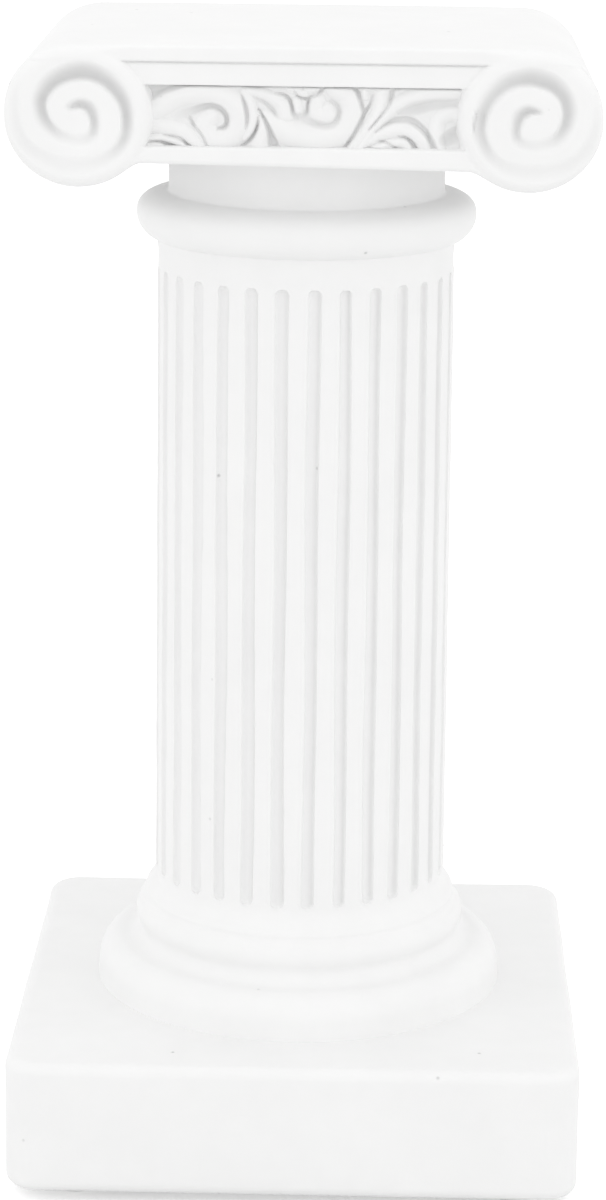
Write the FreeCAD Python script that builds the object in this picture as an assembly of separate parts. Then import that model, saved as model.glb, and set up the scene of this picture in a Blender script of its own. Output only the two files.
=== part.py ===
"""A small column stand in the Ionic manner, cast in white stone-filled resin.

A square plinth carries a round base moulding, a shaft with thirty narrow flutes, a half-round collar, a
plain round neck and a scroll capital with a flat top, on which a vase or a plant pot stands. Each of these
is its own casting. They locate on one another by round spigots, and one threaded rod draws them together:
it screws into a brass insert in the capital, and a washer and a nut tighten it in a counterbore under the
plinth. Two relief strips are let into the front and the back of the capital, between its scrolls. Four
stick-on pads keep the plinth off the surface that it stands on.

Units are millimetres. The origin is at the middle of the footprint, on the surface under the pads. +Z is up
and -Y is the front. Heights inside one casting are measured from that casting's own seat.
"""

import FreeCAD, Part

import math
import os

Vector = FreeCAD.Vector

# ---------------------------------------------------------------- stick-on pads
pad_diameter = 12.7
pad_thickness = 2.0
pad_edge_distance = 5.6  # from the plinth's side to the pad's rim
pad_rim_radius = 0.5

# ---------------------------------------------------------------- plinth
plinth_width = 100.0
plinth_depth = 100.0
plinth_height = 23.9
plinth_corner_radius = 6.0
plinth_top_edge_radius = 3.0
plinth_bottom_edge_radius = 0.8
counterbore_diameter = 19.0
counterbore_depth = 12.0

# ---------------------------------------------------------------- base moulding
lower_torus_radius = 37.1
lower_torus_height = 7.8
lower_torus_foot_step = 1.2  # how far its foot draws in under the bulge
lower_torus_bulge_height = 3.4
scotia_height = 2.5
scotia_width = 3.5
upper_torus_radius = 29.85
upper_torus_height = 5.8
upper_torus_foot_step = 0.75
upper_torus_top_step = 1.5

# ---------------------------------------------------------------- shaft
shaft_height = 120.6
shaft_bottom_radius = 26.4
shaft_top_radius = 26.0
shaft_foot_flare = 1.9
shaft_foot_flare_height = 4.3
shaft_head_flare = 0.35
shaft_head_flare_height = 3.2
shaft_core_diameter = 19.0
flute_count = 30
flute_radius = 1.2
flute_depth = 0.95
flute_bottom_margin = 4.9
flute_top_margin = 5.2
flute_turn = 4.5  # degrees from the front to the nearest flute

# ---------------------------------------------------------------- collar and neck
collar_height = 8.8
collar_radius = 29.85
collar_round = 4.65
neck_radius = 24.2
neck_height = 8.1

# ---------------------------------------------------------------- capital
capital_depth = 73.2
capital_height = 19.9  # from the neck's seat to the flat top
scroll_centre_x = 37.2
scroll_radius_x = 12.15
scroll_radius_z = 11.8
scroll_rim_radius = 2.0
bridge_setback = 0.8  # the bands' front face lies this far behind the scrolls
bridge_corner_radius = 3.0
top_edge_radius = 0.7
fillet_band_height = 2.6
fillet_groove_width = 0.4
fillet_groove_depth = 0.5
second_band_height = 3.6
second_band_setback = 0.5
rail_height = 3.1
rail_edge_radius = 0.9

# The groove that coils on each scroll's end is half circles joined end to end.
spiral_start_gap = 0.5  # from the scroll's rim to the groove's outer end
spiral_pitch = 5.2
spiral_half_turns = 4
spiral_start_angle = 153.0  # degrees from +X towards +Z, on the front left scroll
spiral_groove_radius = 1.1

# ---------------------------------------------------------------- relief strips
strip_recess_depth = 3.0
strip_thickness = 1.2
strip_clearance = 0.1
strip_end_reach = 1.6  # how far its ends reach past the narrowest place, before they are hollowed
vine_radius = 1.1
vine_edge_margin = 0.3
coil_gap = 0.4  # between two turns of one coil
coil_eye = 0.25  # the least opening inside a coil's last half turn
# Each coil: its middle across the strip from the centre, and the way that it turns.
coils = ((-16.2, -1), (3.9, 1), (21.5, -1))
# Each stem: the start, the middle and the end, across from the centre and up from the strip's mid height.
# The stems stand clear of each other and of the coils.
stems = (
    ((-23.0, 3.2), (-22.3, 0.0), (-23.0, -3.2)),
    ((-9.9, 3.4), (-9.0, 0.0), (-9.9, -3.4)),
    ((-6.9, -3.4), (-5.7, 0.9), (-2.6, 3.3)),
    ((-4.2, -3.5), (-3.5, -2.3), (-2.3, -1.3)),
    ((9.9, -3.4), (10.6, 0.3), (10.2, 3.4)),
    ((13.2, -3.4), (13.6, 0.6), (15.2, 3.2)),
)

# ---------------------------------------------------------------- joints between castings
spigot_radius = 16.0
spigot_height = 5.0
neck_spigot_radius = 18.0
neck_spigot_height = 3.0
plinth_spigot_height = 4.0
spigot_clearance = 0.2
spigot_end_gap = 0.3
rod_hole_clearance = 0.5

# ---------------------------------------------------------------- rod and its fixings
rod_diameter = 6.0
rod_tail = 1.9  # rod past the nut
rod_grip = 11.0  # rod inside the insert
thread_clearance = 0.05
insert_diameter = 10.0
insert_length = 12.0
insert_clearance = 0.05
insert_end_gap = 0.3
washer_diameter = 18.0
washer_thickness = 1.6
washer_hole_clearance = 0.2
nut_across_flats = 10.0
nut_height = 5.0
nut_chamfer = 0.5

# ---------------------------------------------------------------- heights of the seats, worked out
plinth_foot_z = pad_thickness
base_foot_z = plinth_foot_z + plinth_height
base_height = lower_torus_height + scotia_height + upper_torus_height
shaft_foot_z = base_foot_z + base_height
collar_foot_z = shaft_foot_z + shaft_height
neck_foot_z = collar_foot_z + collar_height
capital_foot_z = neck_foot_z + neck_height
capital_top_z = capital_foot_z + capital_height
scroll_centre_z = capital_top_z - scroll_radius_z
rod_hole_radius = rod_diameter / 2 + rod_hole_clearance


def cylinder(radius, foot_z, height, x=0.0, y=0.0):
    """An upright cylinder."""
    return Part.makeCylinder(radius, height, Vector(x, y, foot_z))


def line(start, end):
    """A straight edge between two (radius, height) points of a turned outline."""
    return Part.LineSegment(Vector(start[0], 0, start[1]), Vector(end[0], 0, end[1])).toShape()


def arc(start, middle, end):
    """A round edge through three (radius, height) points of a turned outline."""
    points = [Vector(p[0], 0, p[1]) for p in (start, middle, end)]
    return Part.Arc(*points).toShape()


def turned(edges):
    """The solid that a closed outline in the XZ plane sweeps round the Z axis."""
    face = Part.Face(Part.Wire(edges))
    return face.revolve(Vector(0, 0, 0), Vector(0, 0, 1), 360)


def edges_at_height(shape, z):
    """The edges of a shape that lie flat at one height."""
    near = 1e-4
    return [e for e in shape.Edges if abs(e.BoundBox.ZMin - z) < near and abs(e.BoundBox.ZMax - z) < near]


def save(name, shape):
    """Writes one node, and stops if it isn't made of sound closed solids."""
    if not shape.isValid() or not shape.Solids:
        raise ValueError(f"{name} isn't a valid solid")
    shape.exportStep(os.path.join("parts", name + ".step"))
    print(f"{name}: {len(shape.Solids)} solid, {shape.Volume / 1000:.2f} cm3")


# ================================================================ pads and plinth
def foot_pad(side_x, side_y):
    """One stick-on pad near a corner, its lower rim a little rounded."""
    inset = pad_edge_distance + pad_diameter / 2
    x = side_x * (plinth_width / 2 - inset)
    y = side_y * (plinth_depth / 2 - inset)
    pad = cylinder(pad_diameter / 2, 0, pad_thickness, x, y)
    return pad.makeFillet(pad_rim_radius, edges_at_height(pad, 0))


def plinth():
    """The square block: rounded corners, a soft top edge, a socket above and a counterbore below."""
    corner = Vector(-plinth_width / 2, -plinth_depth / 2, plinth_foot_z)
    block = Part.makeBox(plinth_width, plinth_depth, plinth_height, corner)
    upright = [e for e in block.Edges if e.BoundBox.ZLength > plinth_height / 2]
    block = block.makeFillet(plinth_corner_radius, upright)
    block = block.makeFillet(plinth_top_edge_radius, edges_at_height(block, base_foot_z))
    block = block.makeFillet(plinth_bottom_edge_radius, edges_at_height(block, plinth_foot_z))
    socket_depth = plinth_spigot_height + spigot_end_gap
    socket = cylinder(spigot_radius + spigot_clearance, base_foot_z - socket_depth, socket_depth)
    counterbore = cylinder(counterbore_diameter / 2, plinth_foot_z, counterbore_depth)
    rod_hole = cylinder(rod_hole_radius, plinth_foot_z, plinth_height)
    return block.cut([socket, counterbore, rod_hole])


# ================================================================ base moulding
def base_moulding():
    """The round foot of the column: a large half round, a hollow, a smaller half round, and its spigots."""
    foot = base_foot_z
    scotia_z = foot + lower_torus_height
    upper_z = scotia_z + scotia_height
    top = foot + base_height
    upper_foot_radius = upper_torus_radius - upper_torus_foot_step
    upper_top_radius = upper_torus_radius - upper_torus_top_step
    lower_foot_radius = lower_torus_radius - lower_torus_foot_step
    lower_top_radius = upper_foot_radius + scotia_width

    lower_foot = (lower_foot_radius, foot)
    lower_bulge = (lower_torus_radius, foot + lower_torus_bulge_height)
    lower_top = (lower_top_radius, scotia_z)
    hollow = (upper_foot_radius + 0.25 * scotia_width, scotia_z + 0.28 * scotia_height)
    upper_foot = (upper_foot_radius, upper_z)
    upper_bulge = (upper_torus_radius, upper_z + upper_torus_height / 2)
    upper_top = (upper_top_radius, top)
    body = turned([
        line((0, foot), lower_foot),
        arc(lower_foot, lower_bulge, lower_top),
        arc(lower_top, hollow, upper_foot),
        arc(upper_foot, upper_bulge, upper_top),
        line(upper_top, (0, top)),
        line((0, top), (0, foot)),
    ])
    lower_spigot = cylinder(spigot_radius, foot - plinth_spigot_height, plinth_spigot_height)
    upper_spigot = cylinder(spigot_radius, top, spigot_height)
    rod_hole = cylinder(rod_hole_radius, foot - plinth_spigot_height, base_height + 2 * spigot_height)
    return body.fuse([lower_spigot, upper_spigot]).cut(rod_hole).removeSplitter()


# ================================================================ shaft
def flute_cutter(angle):
    """A round-ended bar that lies along the shaft's slope and cuts one flute."""
    out = flute_radius - flute_depth
    low_z = shaft_foot_z + flute_bottom_margin + flute_radius
    high_z = collar_foot_z - flute_top_margin - flute_radius
    direction = Vector(math.sin(math.radians(angle)), -math.cos(math.radians(angle)), 0)
    low = direction * (shaft_bottom_radius + out) + Vector(0, 0, low_z)
    high = direction * (shaft_top_radius + out) + Vector(0, 0, high_z)
    bar = Part.makeCylinder(flute_radius, (high - low).Length, low, high - low)
    ends = [Part.makeSphere(flute_radius, point) for point in (low, high)]
    return bar.fuse(ends)


def shaft():
    """The fluted drum: flared at its foot, a plain ring at each end, sockets in both ends and a core hole."""
    foot = shaft_foot_z
    top = collar_foot_z
    flare_top = foot + shaft_foot_flare_height
    head = top - shaft_head_flare_height
    foot_edge = (shaft_bottom_radius + shaft_foot_flare, foot)
    foot_hollow = (shaft_bottom_radius + 0.27 * shaft_foot_flare, foot + 0.36 * shaft_foot_flare_height)
    head_hollow = (shaft_top_radius + 0.2 * shaft_head_flare, head + 0.45 * shaft_head_flare_height)
    head_edge = (shaft_top_radius + shaft_head_flare, top)
    drum = turned([
        line((0, foot), foot_edge),
        arc(foot_edge, foot_hollow, (shaft_bottom_radius, flare_top)),
        line((shaft_bottom_radius, flare_top), (shaft_top_radius, head)),
        arc((shaft_top_radius, head), head_hollow, head_edge),
        line(head_edge, (0, top)),
        line((0, top), (0, foot)),
    ])
    step = 360 / flute_count
    flutes = [flute_cutter(flute_turn + k * step) for k in range(flute_count)]
    socket_depth = spigot_height + spigot_end_gap
    low_socket = cylinder(spigot_radius + spigot_clearance, foot, socket_depth)
    high_socket = cylinder(spigot_radius + spigot_clearance, top - socket_depth, socket_depth)
    core = cylinder(shaft_core_diameter / 2, foot, shaft_height)
    return drum.cut(flutes).cut([low_socket, high_socket, core])


# ================================================================ collar and neck
def collar():
    """The half-round ring on top of the shaft, with a spigot below and a socket for the neck above."""
    foot = collar_foot_z
    top = neck_foot_z
    centre_radius = collar_radius - collar_round
    rise = collar_height / 2
    edge_radius = centre_radius + math.sqrt(collar_round**2 - rise**2)
    body = turned([
        line((0, foot), (edge_radius, foot)),
        arc((edge_radius, foot), (collar_radius, foot + rise), (edge_radius, top)),
        line((edge_radius, top), (0, top)),
        line((0, top), (0, foot)),
    ])
    spigot = cylinder(spigot_radius, foot - spigot_height, spigot_height)
    socket_depth = neck_spigot_height + spigot_end_gap
    socket = cylinder(neck_spigot_radius + spigot_clearance, top - socket_depth, socket_depth)
    rod_hole = cylinder(rod_hole_radius, foot - spigot_height, spigot_height + collar_height)
    return body.fuse(spigot).cut([socket, rod_hole]).removeSplitter()


def neck():
    """The plain round drum between the collar and the capital, with a spigot at each end."""
    drum = cylinder(neck_radius, neck_foot_z, neck_height)
    foot_z = neck_foot_z - neck_spigot_height
    length = neck_height + 2 * neck_spigot_height
    core = cylinder(neck_spigot_radius, foot_z, length)
    rod_hole = cylinder(rod_hole_radius, foot_z, length)
    return drum.fuse(core).cut(rod_hole).removeSplitter()


# ================================================================ capital
def scroll_bar(side, grow=0.0):
    """One oval bar from the front to the back of the capital, optionally a little larger all round."""
    length = capital_depth
    centre = Vector(side * scroll_centre_x, -length / 2, scroll_centre_z)
    reaches = [Vector(scroll_radius_x + grow, 0, 0), Vector(0, 0, scroll_radius_z + grow)]
    short, long = sorted(reaches, key=lambda reach: reach.Length)
    oval = Part.Ellipse(centre + long, centre + short, centre).toShape()
    return Part.Face(Part.Wire([oval])).extrude(Vector(0, length, 0))


def left_scroll():
    """The left oval bar with its two end rims rounded."""
    bar = scroll_bar(-1)
    near = 1e-4
    rims = [e for e in bar.Edges if e.BoundBox.YLength < near]
    return bar.makeFillet(scroll_rim_radius, rims)


def half_circle_coil(centre, start_radius, pitch, half_turns, start_angle, turn):
    """A flat coil of half circles, joined end to end, that winds inwards in a plane facing the front.

    Each half circle ends nearer the middle than it began by half the pitch, so their centres lie on one line.
    """
    along = Vector(math.cos(math.radians(start_angle)), 0, math.sin(math.radians(start_angle)))
    across = Vector(-along.z * turn, 0, along.x * turn)
    edges = []
    reach = start_radius
    side = 1
    for _ in range(half_turns):
        end_reach = reach - pitch / 2
        middle = centre + along * (side * (reach - end_reach) / 2)
        radius = (reach + end_reach) / 2
        edges.append(Part.Arc(
            centre + along * (side * reach),
            middle + across * (side * radius),
            centre - along * (side * end_reach),
        ).toShape())
        reach = end_reach
        side = -side
    return Part.Wire(edges)


def round_bar_along(path, radius):
    """A round bar that follows a path, with ball ends."""
    start = path.Edges[0]
    tangent = start.tangentAt(start.FirstParameter)
    circle = Part.Wire([Part.Circle(start.valueAt(start.FirstParameter), tangent, radius).toShape()])
    bar = path.makePipeShell([circle], True, False)
    points = path.OrderedVertexes
    balls = [Part.makeSphere(radius, points[k].Point) for k in (0, -1)]
    return bar.fuse(balls)


def spiral_groove(front):
    """The groove that coils on the left scroll's end; front is -1 at the front end and 1 at the back."""
    centre = Vector(-scroll_centre_x, front * capital_depth / 2, scroll_centre_z)
    outer = min(scroll_radius_x, scroll_radius_z) - spiral_start_gap
    path = half_circle_coil(centre, outer, spiral_pitch, spiral_half_turns, spiral_start_angle, 1)
    return round_bar_along(path, spiral_groove_radius)


def left_bridge():
    """The left half of what joins the scrolls: flat top, two bands, a recess for each strip, and rail."""
    front = capital_depth / 2 - bridge_setback
    groove_top = capital_top_z - fillet_band_height
    second_top = groove_top - fillet_groove_width
    recess_top = second_top - second_band_height
    recess_bottom = capital_foot_z + rail_height
    block = Part.makeBox(
        scroll_centre_x, 2 * front, capital_height, Vector(-scroll_centre_x, -front, capital_foot_z)
    )
    for z, radius in ((capital_top_z, top_edge_radius), (capital_foot_z, rail_edge_radius)):
        long_edges = [e for e in edges_at_height(block, z) if e.BoundBox.YLength < 1e-4]
        block = block.makeFillet(radius, long_edges)
    levels = (
        (groove_top, fillet_groove_width, fillet_groove_depth + second_band_setback),
        (second_top, second_band_height, second_band_setback),
        (recess_top, recess_top - recess_bottom, strip_recess_depth),
    )
    cuts = []
    for level_top, height, depth in levels:
        for y in (-front, front - depth):
            corner = Vector(-scroll_centre_x, y, level_top - height)
            cuts.append(Part.makeBox(scroll_centre_x, depth, height, corner))
    return block.cut(cuts)


def left_web():
    """The small hollow-cornered web under the rail, where it runs into the left scroll."""
    reach = bridge_corner_radius
    depth = capital_depth - 2 * (bridge_setback + rail_edge_radius)
    drop = capital_foot_z - scroll_centre_z
    half_width = scroll_radius_x * math.sqrt(max(0.0, 1 - (drop / scroll_radius_z) ** 2))
    meet_x = half_width - scroll_centre_x
    start_x = meet_x + reach
    foot = -depth / 2
    low_z = capital_foot_z - 0.75 * reach
    root = Vector(start_x, foot, capital_foot_z)
    bend = Vector(start_x - 0.62 * reach, foot, capital_foot_z - 0.2 * reach)
    tip = Vector(meet_x - 0.3 * reach, foot, low_z)
    inner = Vector(-scroll_centre_x, foot, low_z)
    upper = Vector(-scroll_centre_x, foot, capital_foot_z + rail_height)
    back = Vector(start_x, foot, capital_foot_z + rail_height)
    corners = (tip, inner, upper, back, root)
    straight = [Part.LineSegment(a, b).toShape() for a, b in zip(corners, corners[1:])]
    outline = Part.Wire([Part.Arc(root, bend, tip).toShape()] + straight)
    return Part.Face(outline).extrude(Vector(0, depth, 0))


def capital():
    """The scrolls with their grooves and what joins them, the neck's socket and the insert's hole."""
    half = left_bridge().fuse([left_scroll(), left_web()])
    for front in (-1, 1):
        half = half.cut(spiral_groove(front))
    other_half = half.mirror(Vector(0, 0, 0), Vector(1, 0, 0))
    body = half.fuse(other_half).removeSplitter()
    socket_depth = neck_spigot_height + spigot_end_gap
    socket = cylinder(neck_spigot_radius + spigot_clearance, capital_foot_z, socket_depth)
    hole_depth = socket_depth + insert_length + insert_end_gap
    hole = cylinder(insert_diameter / 2 + insert_clearance, capital_foot_z, hole_depth)
    return body.cut([socket, hole])


# ================================================================ relief strips
def relief_strip():
    """The front strip: it lies in the capital's recess, its ends hollowed to pass the scrolls."""
    floor_y = capital_depth / 2 - bridge_setback - strip_recess_depth
    face_y = floor_y + strip_thickness
    bottom = capital_foot_z + rail_height + strip_clearance
    top = capital_top_z - fillet_band_height - fillet_groove_width - second_band_height - strip_clearance
    middle_z = (top + bottom) / 2
    free_radius = (top - bottom) / 2 - vine_radius - vine_edge_margin
    half_length = scroll_centre_x - scroll_radius_x + strip_end_reach
    corner = Vector(-half_length, -face_y, bottom)
    strip = Part.makeBox(2 * half_length, strip_thickness, top - bottom, corner)

    pitch = 2 * vine_radius + coil_gap
    half_turns = max(1, int(2 * (free_radius - vine_radius - coil_eye) / pitch + 0.5))
    relief = []
    for x, turn in coils:
        centre = Vector(x, -face_y, middle_z)
        path = half_circle_coil(centre, free_radius, pitch, half_turns, -90, turn)
        relief.append(round_bar_along(path, vine_radius))
    for stem in stems:
        points = [Vector(x, -face_y, middle_z + min(free_radius, max(-free_radius, z))) for x, z in stem]
        relief.append(round_bar_along(Part.Wire([Part.Arc(*points).toShape()]), vine_radius))
    for bar in relief:
        strip = strip.fuse(bar)
    corner = Vector(-half_length, -floor_y, bottom)
    behind = Part.makeBox(2 * half_length, strip_recess_depth, top - bottom, corner)
    scrolls = [scroll_bar(side, strip_clearance) for side in (-1, 1)]
    return strip.cut([behind] + scrolls).removeSplitter()


# ================================================================ rod and its fixings
def washer_seat_z():
    """The height of the counterbore's roof, where the washer bears."""
    return plinth_foot_z + counterbore_depth


def insert_foot_z():
    """The height of the insert's lower end."""
    return capital_foot_z + neck_spigot_height + spigot_end_gap


def tie_rod():
    """The threaded rod, from just under the nut to inside the insert."""
    foot = washer_seat_z() - washer_thickness - nut_height - rod_tail
    top = insert_foot_z() + rod_grip
    return cylinder(rod_diameter / 2, foot, top - foot)


def rod_insert():
    """The brass sleeve that is cast into the capital."""
    sleeve = cylinder(insert_diameter / 2, insert_foot_z(), insert_length)
    bore = cylinder(rod_diameter / 2 + thread_clearance, insert_foot_z(), insert_length)
    return sleeve.cut(bore)


def rod_washer():
    """The wide washer under the counterbore's roof."""
    foot = washer_seat_z() - washer_thickness
    disc = cylinder(washer_diameter / 2, foot, washer_thickness)
    return disc.cut(cylinder(rod_diameter / 2 + washer_hole_clearance, foot, washer_thickness))


def rod_nut():
    """The hexagon nut, its corners turned down at both faces."""
    foot = washer_seat_z() - washer_thickness - nut_height
    corner_radius = nut_across_flats / math.sqrt(3)
    corners = [
        Vector(corner_radius * math.cos(math.radians(a)), corner_radius * math.sin(math.radians(a)), foot)
        for a in range(0, 361, 60)
    ]
    prism = Part.Face(Part.makePolygon(corners)).extrude(Vector(0, 0, nut_height))
    drum = cylinder(corner_radius, foot, nut_height)
    rims = edges_at_height(drum, foot) + edges_at_height(drum, foot + nut_height)
    drum = drum.makeChamfer(nut_chamfer, rims)
    bore = cylinder(rod_diameter / 2 + thread_clearance, foot, nut_height)
    return prism.common(drum).cut(bore)


def main():
    """Builds every node and writes it to parts/."""
    os.makedirs("parts", exist_ok=True)
    sides = {"left": -1, "right": 1}
    depths = {"front": -1, "rear": 1}
    for depth_name, side_y in depths.items():
        for side_name, side_x in sides.items():
            save(f"foot_pad_{depth_name}_{side_name}", foot_pad(side_x, side_y))
    save("plinth", plinth())
    save("base_moulding", base_moulding())
    save("fluted_shaft", shaft())
    save("collar", collar())
    save("neck_drum", neck())
    save("scroll_capital", capital())
    strip = relief_strip()
    save("relief_strip_front", strip)
    save("relief_strip_rear", strip.rotated(Vector(0, 0, 0), Vector(0, 0, 1), 180))
    save("tie_rod", tie_rod())
    save("rod_insert", rod_insert())
    save("rod_washer", rod_washer())
    save("rod_nut", rod_nut())


main()
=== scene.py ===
"""A small white cast column stand, dressed for its portrait.

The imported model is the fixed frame. Every casting is a surface worked out on a grid of two parameters: the
plinth is rings that turn from a rounded square into circles, the mouldings are turned outlines, the shaft
adds its flutes to one, and the capital is a row of closed upright loops from one scroll to the other. Two
carved strips of leaf scrolls stand between the scrolls. Lengths are millimetres here, and become metres as
a mesh is made.
"""

import logging
import math
from dataclasses import dataclass
from enum import Enum
from typing import ClassVar

import bmesh
import bpy
import numpy as np
from mathutils import Matrix, Vector


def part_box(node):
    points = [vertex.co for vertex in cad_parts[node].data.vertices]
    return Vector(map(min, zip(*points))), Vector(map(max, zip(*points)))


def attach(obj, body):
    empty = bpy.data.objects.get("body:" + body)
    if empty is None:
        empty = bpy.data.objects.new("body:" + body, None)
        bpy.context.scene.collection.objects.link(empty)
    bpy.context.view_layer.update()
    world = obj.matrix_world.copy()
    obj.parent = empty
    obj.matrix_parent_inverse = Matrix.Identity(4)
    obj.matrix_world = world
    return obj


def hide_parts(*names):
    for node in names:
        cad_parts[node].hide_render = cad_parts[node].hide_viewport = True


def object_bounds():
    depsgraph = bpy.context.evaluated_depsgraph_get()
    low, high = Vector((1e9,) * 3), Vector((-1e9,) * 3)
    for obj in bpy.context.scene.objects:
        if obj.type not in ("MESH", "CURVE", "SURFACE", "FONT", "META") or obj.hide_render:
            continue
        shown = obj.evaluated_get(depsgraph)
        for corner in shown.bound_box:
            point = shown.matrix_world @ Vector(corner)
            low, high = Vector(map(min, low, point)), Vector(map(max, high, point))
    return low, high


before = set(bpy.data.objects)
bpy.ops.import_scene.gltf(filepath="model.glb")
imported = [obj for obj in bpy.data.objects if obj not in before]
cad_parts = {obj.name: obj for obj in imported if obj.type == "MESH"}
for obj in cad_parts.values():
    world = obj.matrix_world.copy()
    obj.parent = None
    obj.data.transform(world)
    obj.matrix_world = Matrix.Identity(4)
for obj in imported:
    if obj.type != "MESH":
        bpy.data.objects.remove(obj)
cad_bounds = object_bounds()

log = logging.getLogger("column_stand")

MM = 0.001
FULL_TURN = 2 * math.pi
BODY = "root"
WELD_DISTANCE = 2e-7  # metres
SHARP_ANGLE = math.radians(55)
FINE_PLACES = 6001  # at which a density is summed
WHITE = (1.0, 1.0, 1.0, 1.0)

Color = tuple[float, float, float]
Socket = bpy.types.NodeSocket
Material = bpy.types.Material


class Slot(Enum):
    """The record's material slots."""

    WHITE_CASTING = "white_casting"
    ZINC_STEEL = "zinc_steel"
    INSERT_BRASS = "insert_brass"
    PAD_RUBBER = "pad_rubber"


class Hand(Enum):
    """Which side of the middle a piece lies on, or which way across a stroke its soft slope faces."""

    LEFT = -1
    RIGHT = 1


# ================================================================ shaping with whole arrays
def smooth_step(low: float, high: float, value: np.ndarray) -> np.ndarray:
    """Rises from 0 at low to 1 at high along 3t^2 - 2t^3."""
    share = np.clip((value - low) / (high - low), 0, 1)
    return share * share * (3 - 2 * share)


def soft_max(first: np.ndarray, second: np.ndarray, reach: float) -> np.ndarray:
    """The higher of two surfaces, with the crease between them rounded over a reach in height."""
    # Where they differ by less than the reach, they mix, and are lifted by reach * share * (1 - share).
    share = np.clip(0.5 + 0.5 * (first - second) / reach, 0, 1)
    return first * share + second * (1 - share) + reach * share * (1 - share)


def soft_min(first: np.ndarray, second: np.ndarray, reach: float) -> np.ndarray:
    """The lower of two surfaces, with the crease between them rounded as in soft_max."""
    return -soft_max(-first, -second, reach)


def round_drop(distance: np.ndarray, radius: np.ndarray | float) -> np.ndarray:
    """How far a round edge lies below its flat: the radius less a quarter circle's height, 0 past it."""
    inward = np.clip(radius - distance, 0, radius)
    return radius - np.sqrt(np.maximum(radius**2 - inward**2, 0))


def spread(low: float, high: float, count: int, crowded: list[float], reach: float,
           strength: float) -> np.ndarray:
    """Places from low to high that crowd round some of them.

    The density is 1 plus a bell of the given strength round each crowded place, and the places
    share its running total evenly.

    Args:
        low: The first place.
        high: The last place.
        count: How many places.
        crowded: Where they crowd.
        reach: The width of each bell.
        strength: How much denser they lie there.

    Returns:
        The places in rising order.
    """
    fine = np.linspace(low, high, FINE_PLACES)
    bells = np.exp(-(((fine[:, None] - np.asarray(crowded)) / reach) ** 2))
    density = 1 + strength * bells.sum(axis=1)
    total = np.concatenate([[0], np.cumsum((density[1:] + density[:-1]) / 2)])
    return np.interp(np.linspace(0, total[-1], count), total, fine)


def unevenness(points: np.ndarray, size: float) -> np.ndarray:
    """A slow hand-finished unevenness between 0 and a size.

    It is the mean of sines along slanted directions, each with 0.4 to 0.6 of a turn per centimetre.

    Args:
        points: Places, with x, y and z last.
        size: The most that it reaches.

    Returns:
        One length for each place.
    """
    waves = np.array([[0.21, 0.09, 0.13], [-0.12, 0.24, 0.17], [0.07, -0.19, 0.29], [0.33, 0.15, -0.11]])
    phases = np.array([0.4, 2.1, 4.4, 5.3])
    swell = np.sin(points @ waves.T + phases).mean(axis=-1)
    return size * (0.5 + 0.5 * swell)


def quarter_arc(count: int) -> tuple[np.ndarray, np.ndarray]:
    """Sines and cosines of evenly spaced angles, from nothing to a quarter turn."""
    angles = np.linspace(0, math.pi / 2, count)
    return np.sin(angles), np.cos(angles)


def arc_through(start: tuple, middle: tuple, end: tuple, count: int) -> np.ndarray:
    """Points along the circle's arc through three points.

    The centre is where the two chords' middle lines cross, and the angle runs evenly from the
    start's past the middle's to the end's.

    Args:
        start: The first point, as radius and height.
        middle: A point between.
        end: The last point.
        count: How many points.

    Returns:
        An array of points, one per row.
    """
    a, b, c = (np.asarray(p, float) for p in (start, middle, end))
    sides = 2 * np.array([b - a, c - a])
    centre = np.linalg.solve(sides, np.array([b @ b - a @ a, c @ c - a @ a]))
    first, mid, last = (math.atan2(*(p - centre)[::-1]) for p in (a, b, c))
    mid = first + (mid - first) % FULL_TURN
    last = first + (last - first) % FULL_TURN
    if mid > last:
        last -= FULL_TURN
    angles = np.linspace(first, last, count)
    return centre + np.linalg.norm(a - centre) * np.stack([np.cos(angles), np.sin(angles)], axis=-1)


def softened(outline: np.ndarray, step: float, reach: float) -> np.ndarray:
    """An open outline with its corners worn round, as a mould leaves them.

    It is sampled at even steps along its length, and then each point becomes the bell-weighted mean
    of its neighbours. Both ends stay put.

    Args:
        outline: Points of radius and height.
        step: The distance between samples.
        reach: The bell's width.

    Returns:
        The worn outline.
    """
    lengths = np.concatenate([[0], np.cumsum(np.linalg.norm(np.diff(outline, axis=0), axis=1))])
    places = np.linspace(0, lengths[-1], max(8, int(lengths[-1] / step)))
    even = np.stack([np.interp(places, lengths, outline[:, k]) for k in (0, 1)], axis=-1)
    half = max(1, int(2.5 * reach / step))
    bell = np.exp(-((np.arange(-half, half + 1) * step / reach) ** 2))
    before = 2 * even[0] - even[half:0:-1]
    after = 2 * even[-1] - even[-2:-half - 2:-1]
    padded = np.vstack([before, even, after])
    worn = [np.convolve(padded[:, k], bell / bell.sum(), mode="valid") for k in (0, 1)]
    return np.stack(worn, axis=-1)


def ring_grid(radius: np.ndarray, angles: np.ndarray, height: np.ndarray | float) -> np.ndarray:
    """Points on rings round the Z axis: (r cos a, r sin a, z)."""
    return np.stack(np.broadcast_arrays(radius * np.cos(angles), radius * np.sin(angles), height), axis=-1)


def turned(outline: np.ndarray, columns: int) -> np.ndarray:
    """The rings that an outline of radius and height sweeps round the Z axis, one per point."""
    angles = np.linspace(0, FULL_TURN, columns, endpoint=False)
    return ring_grid(outline[:, :1], angles, outline[:, 1:])


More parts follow.
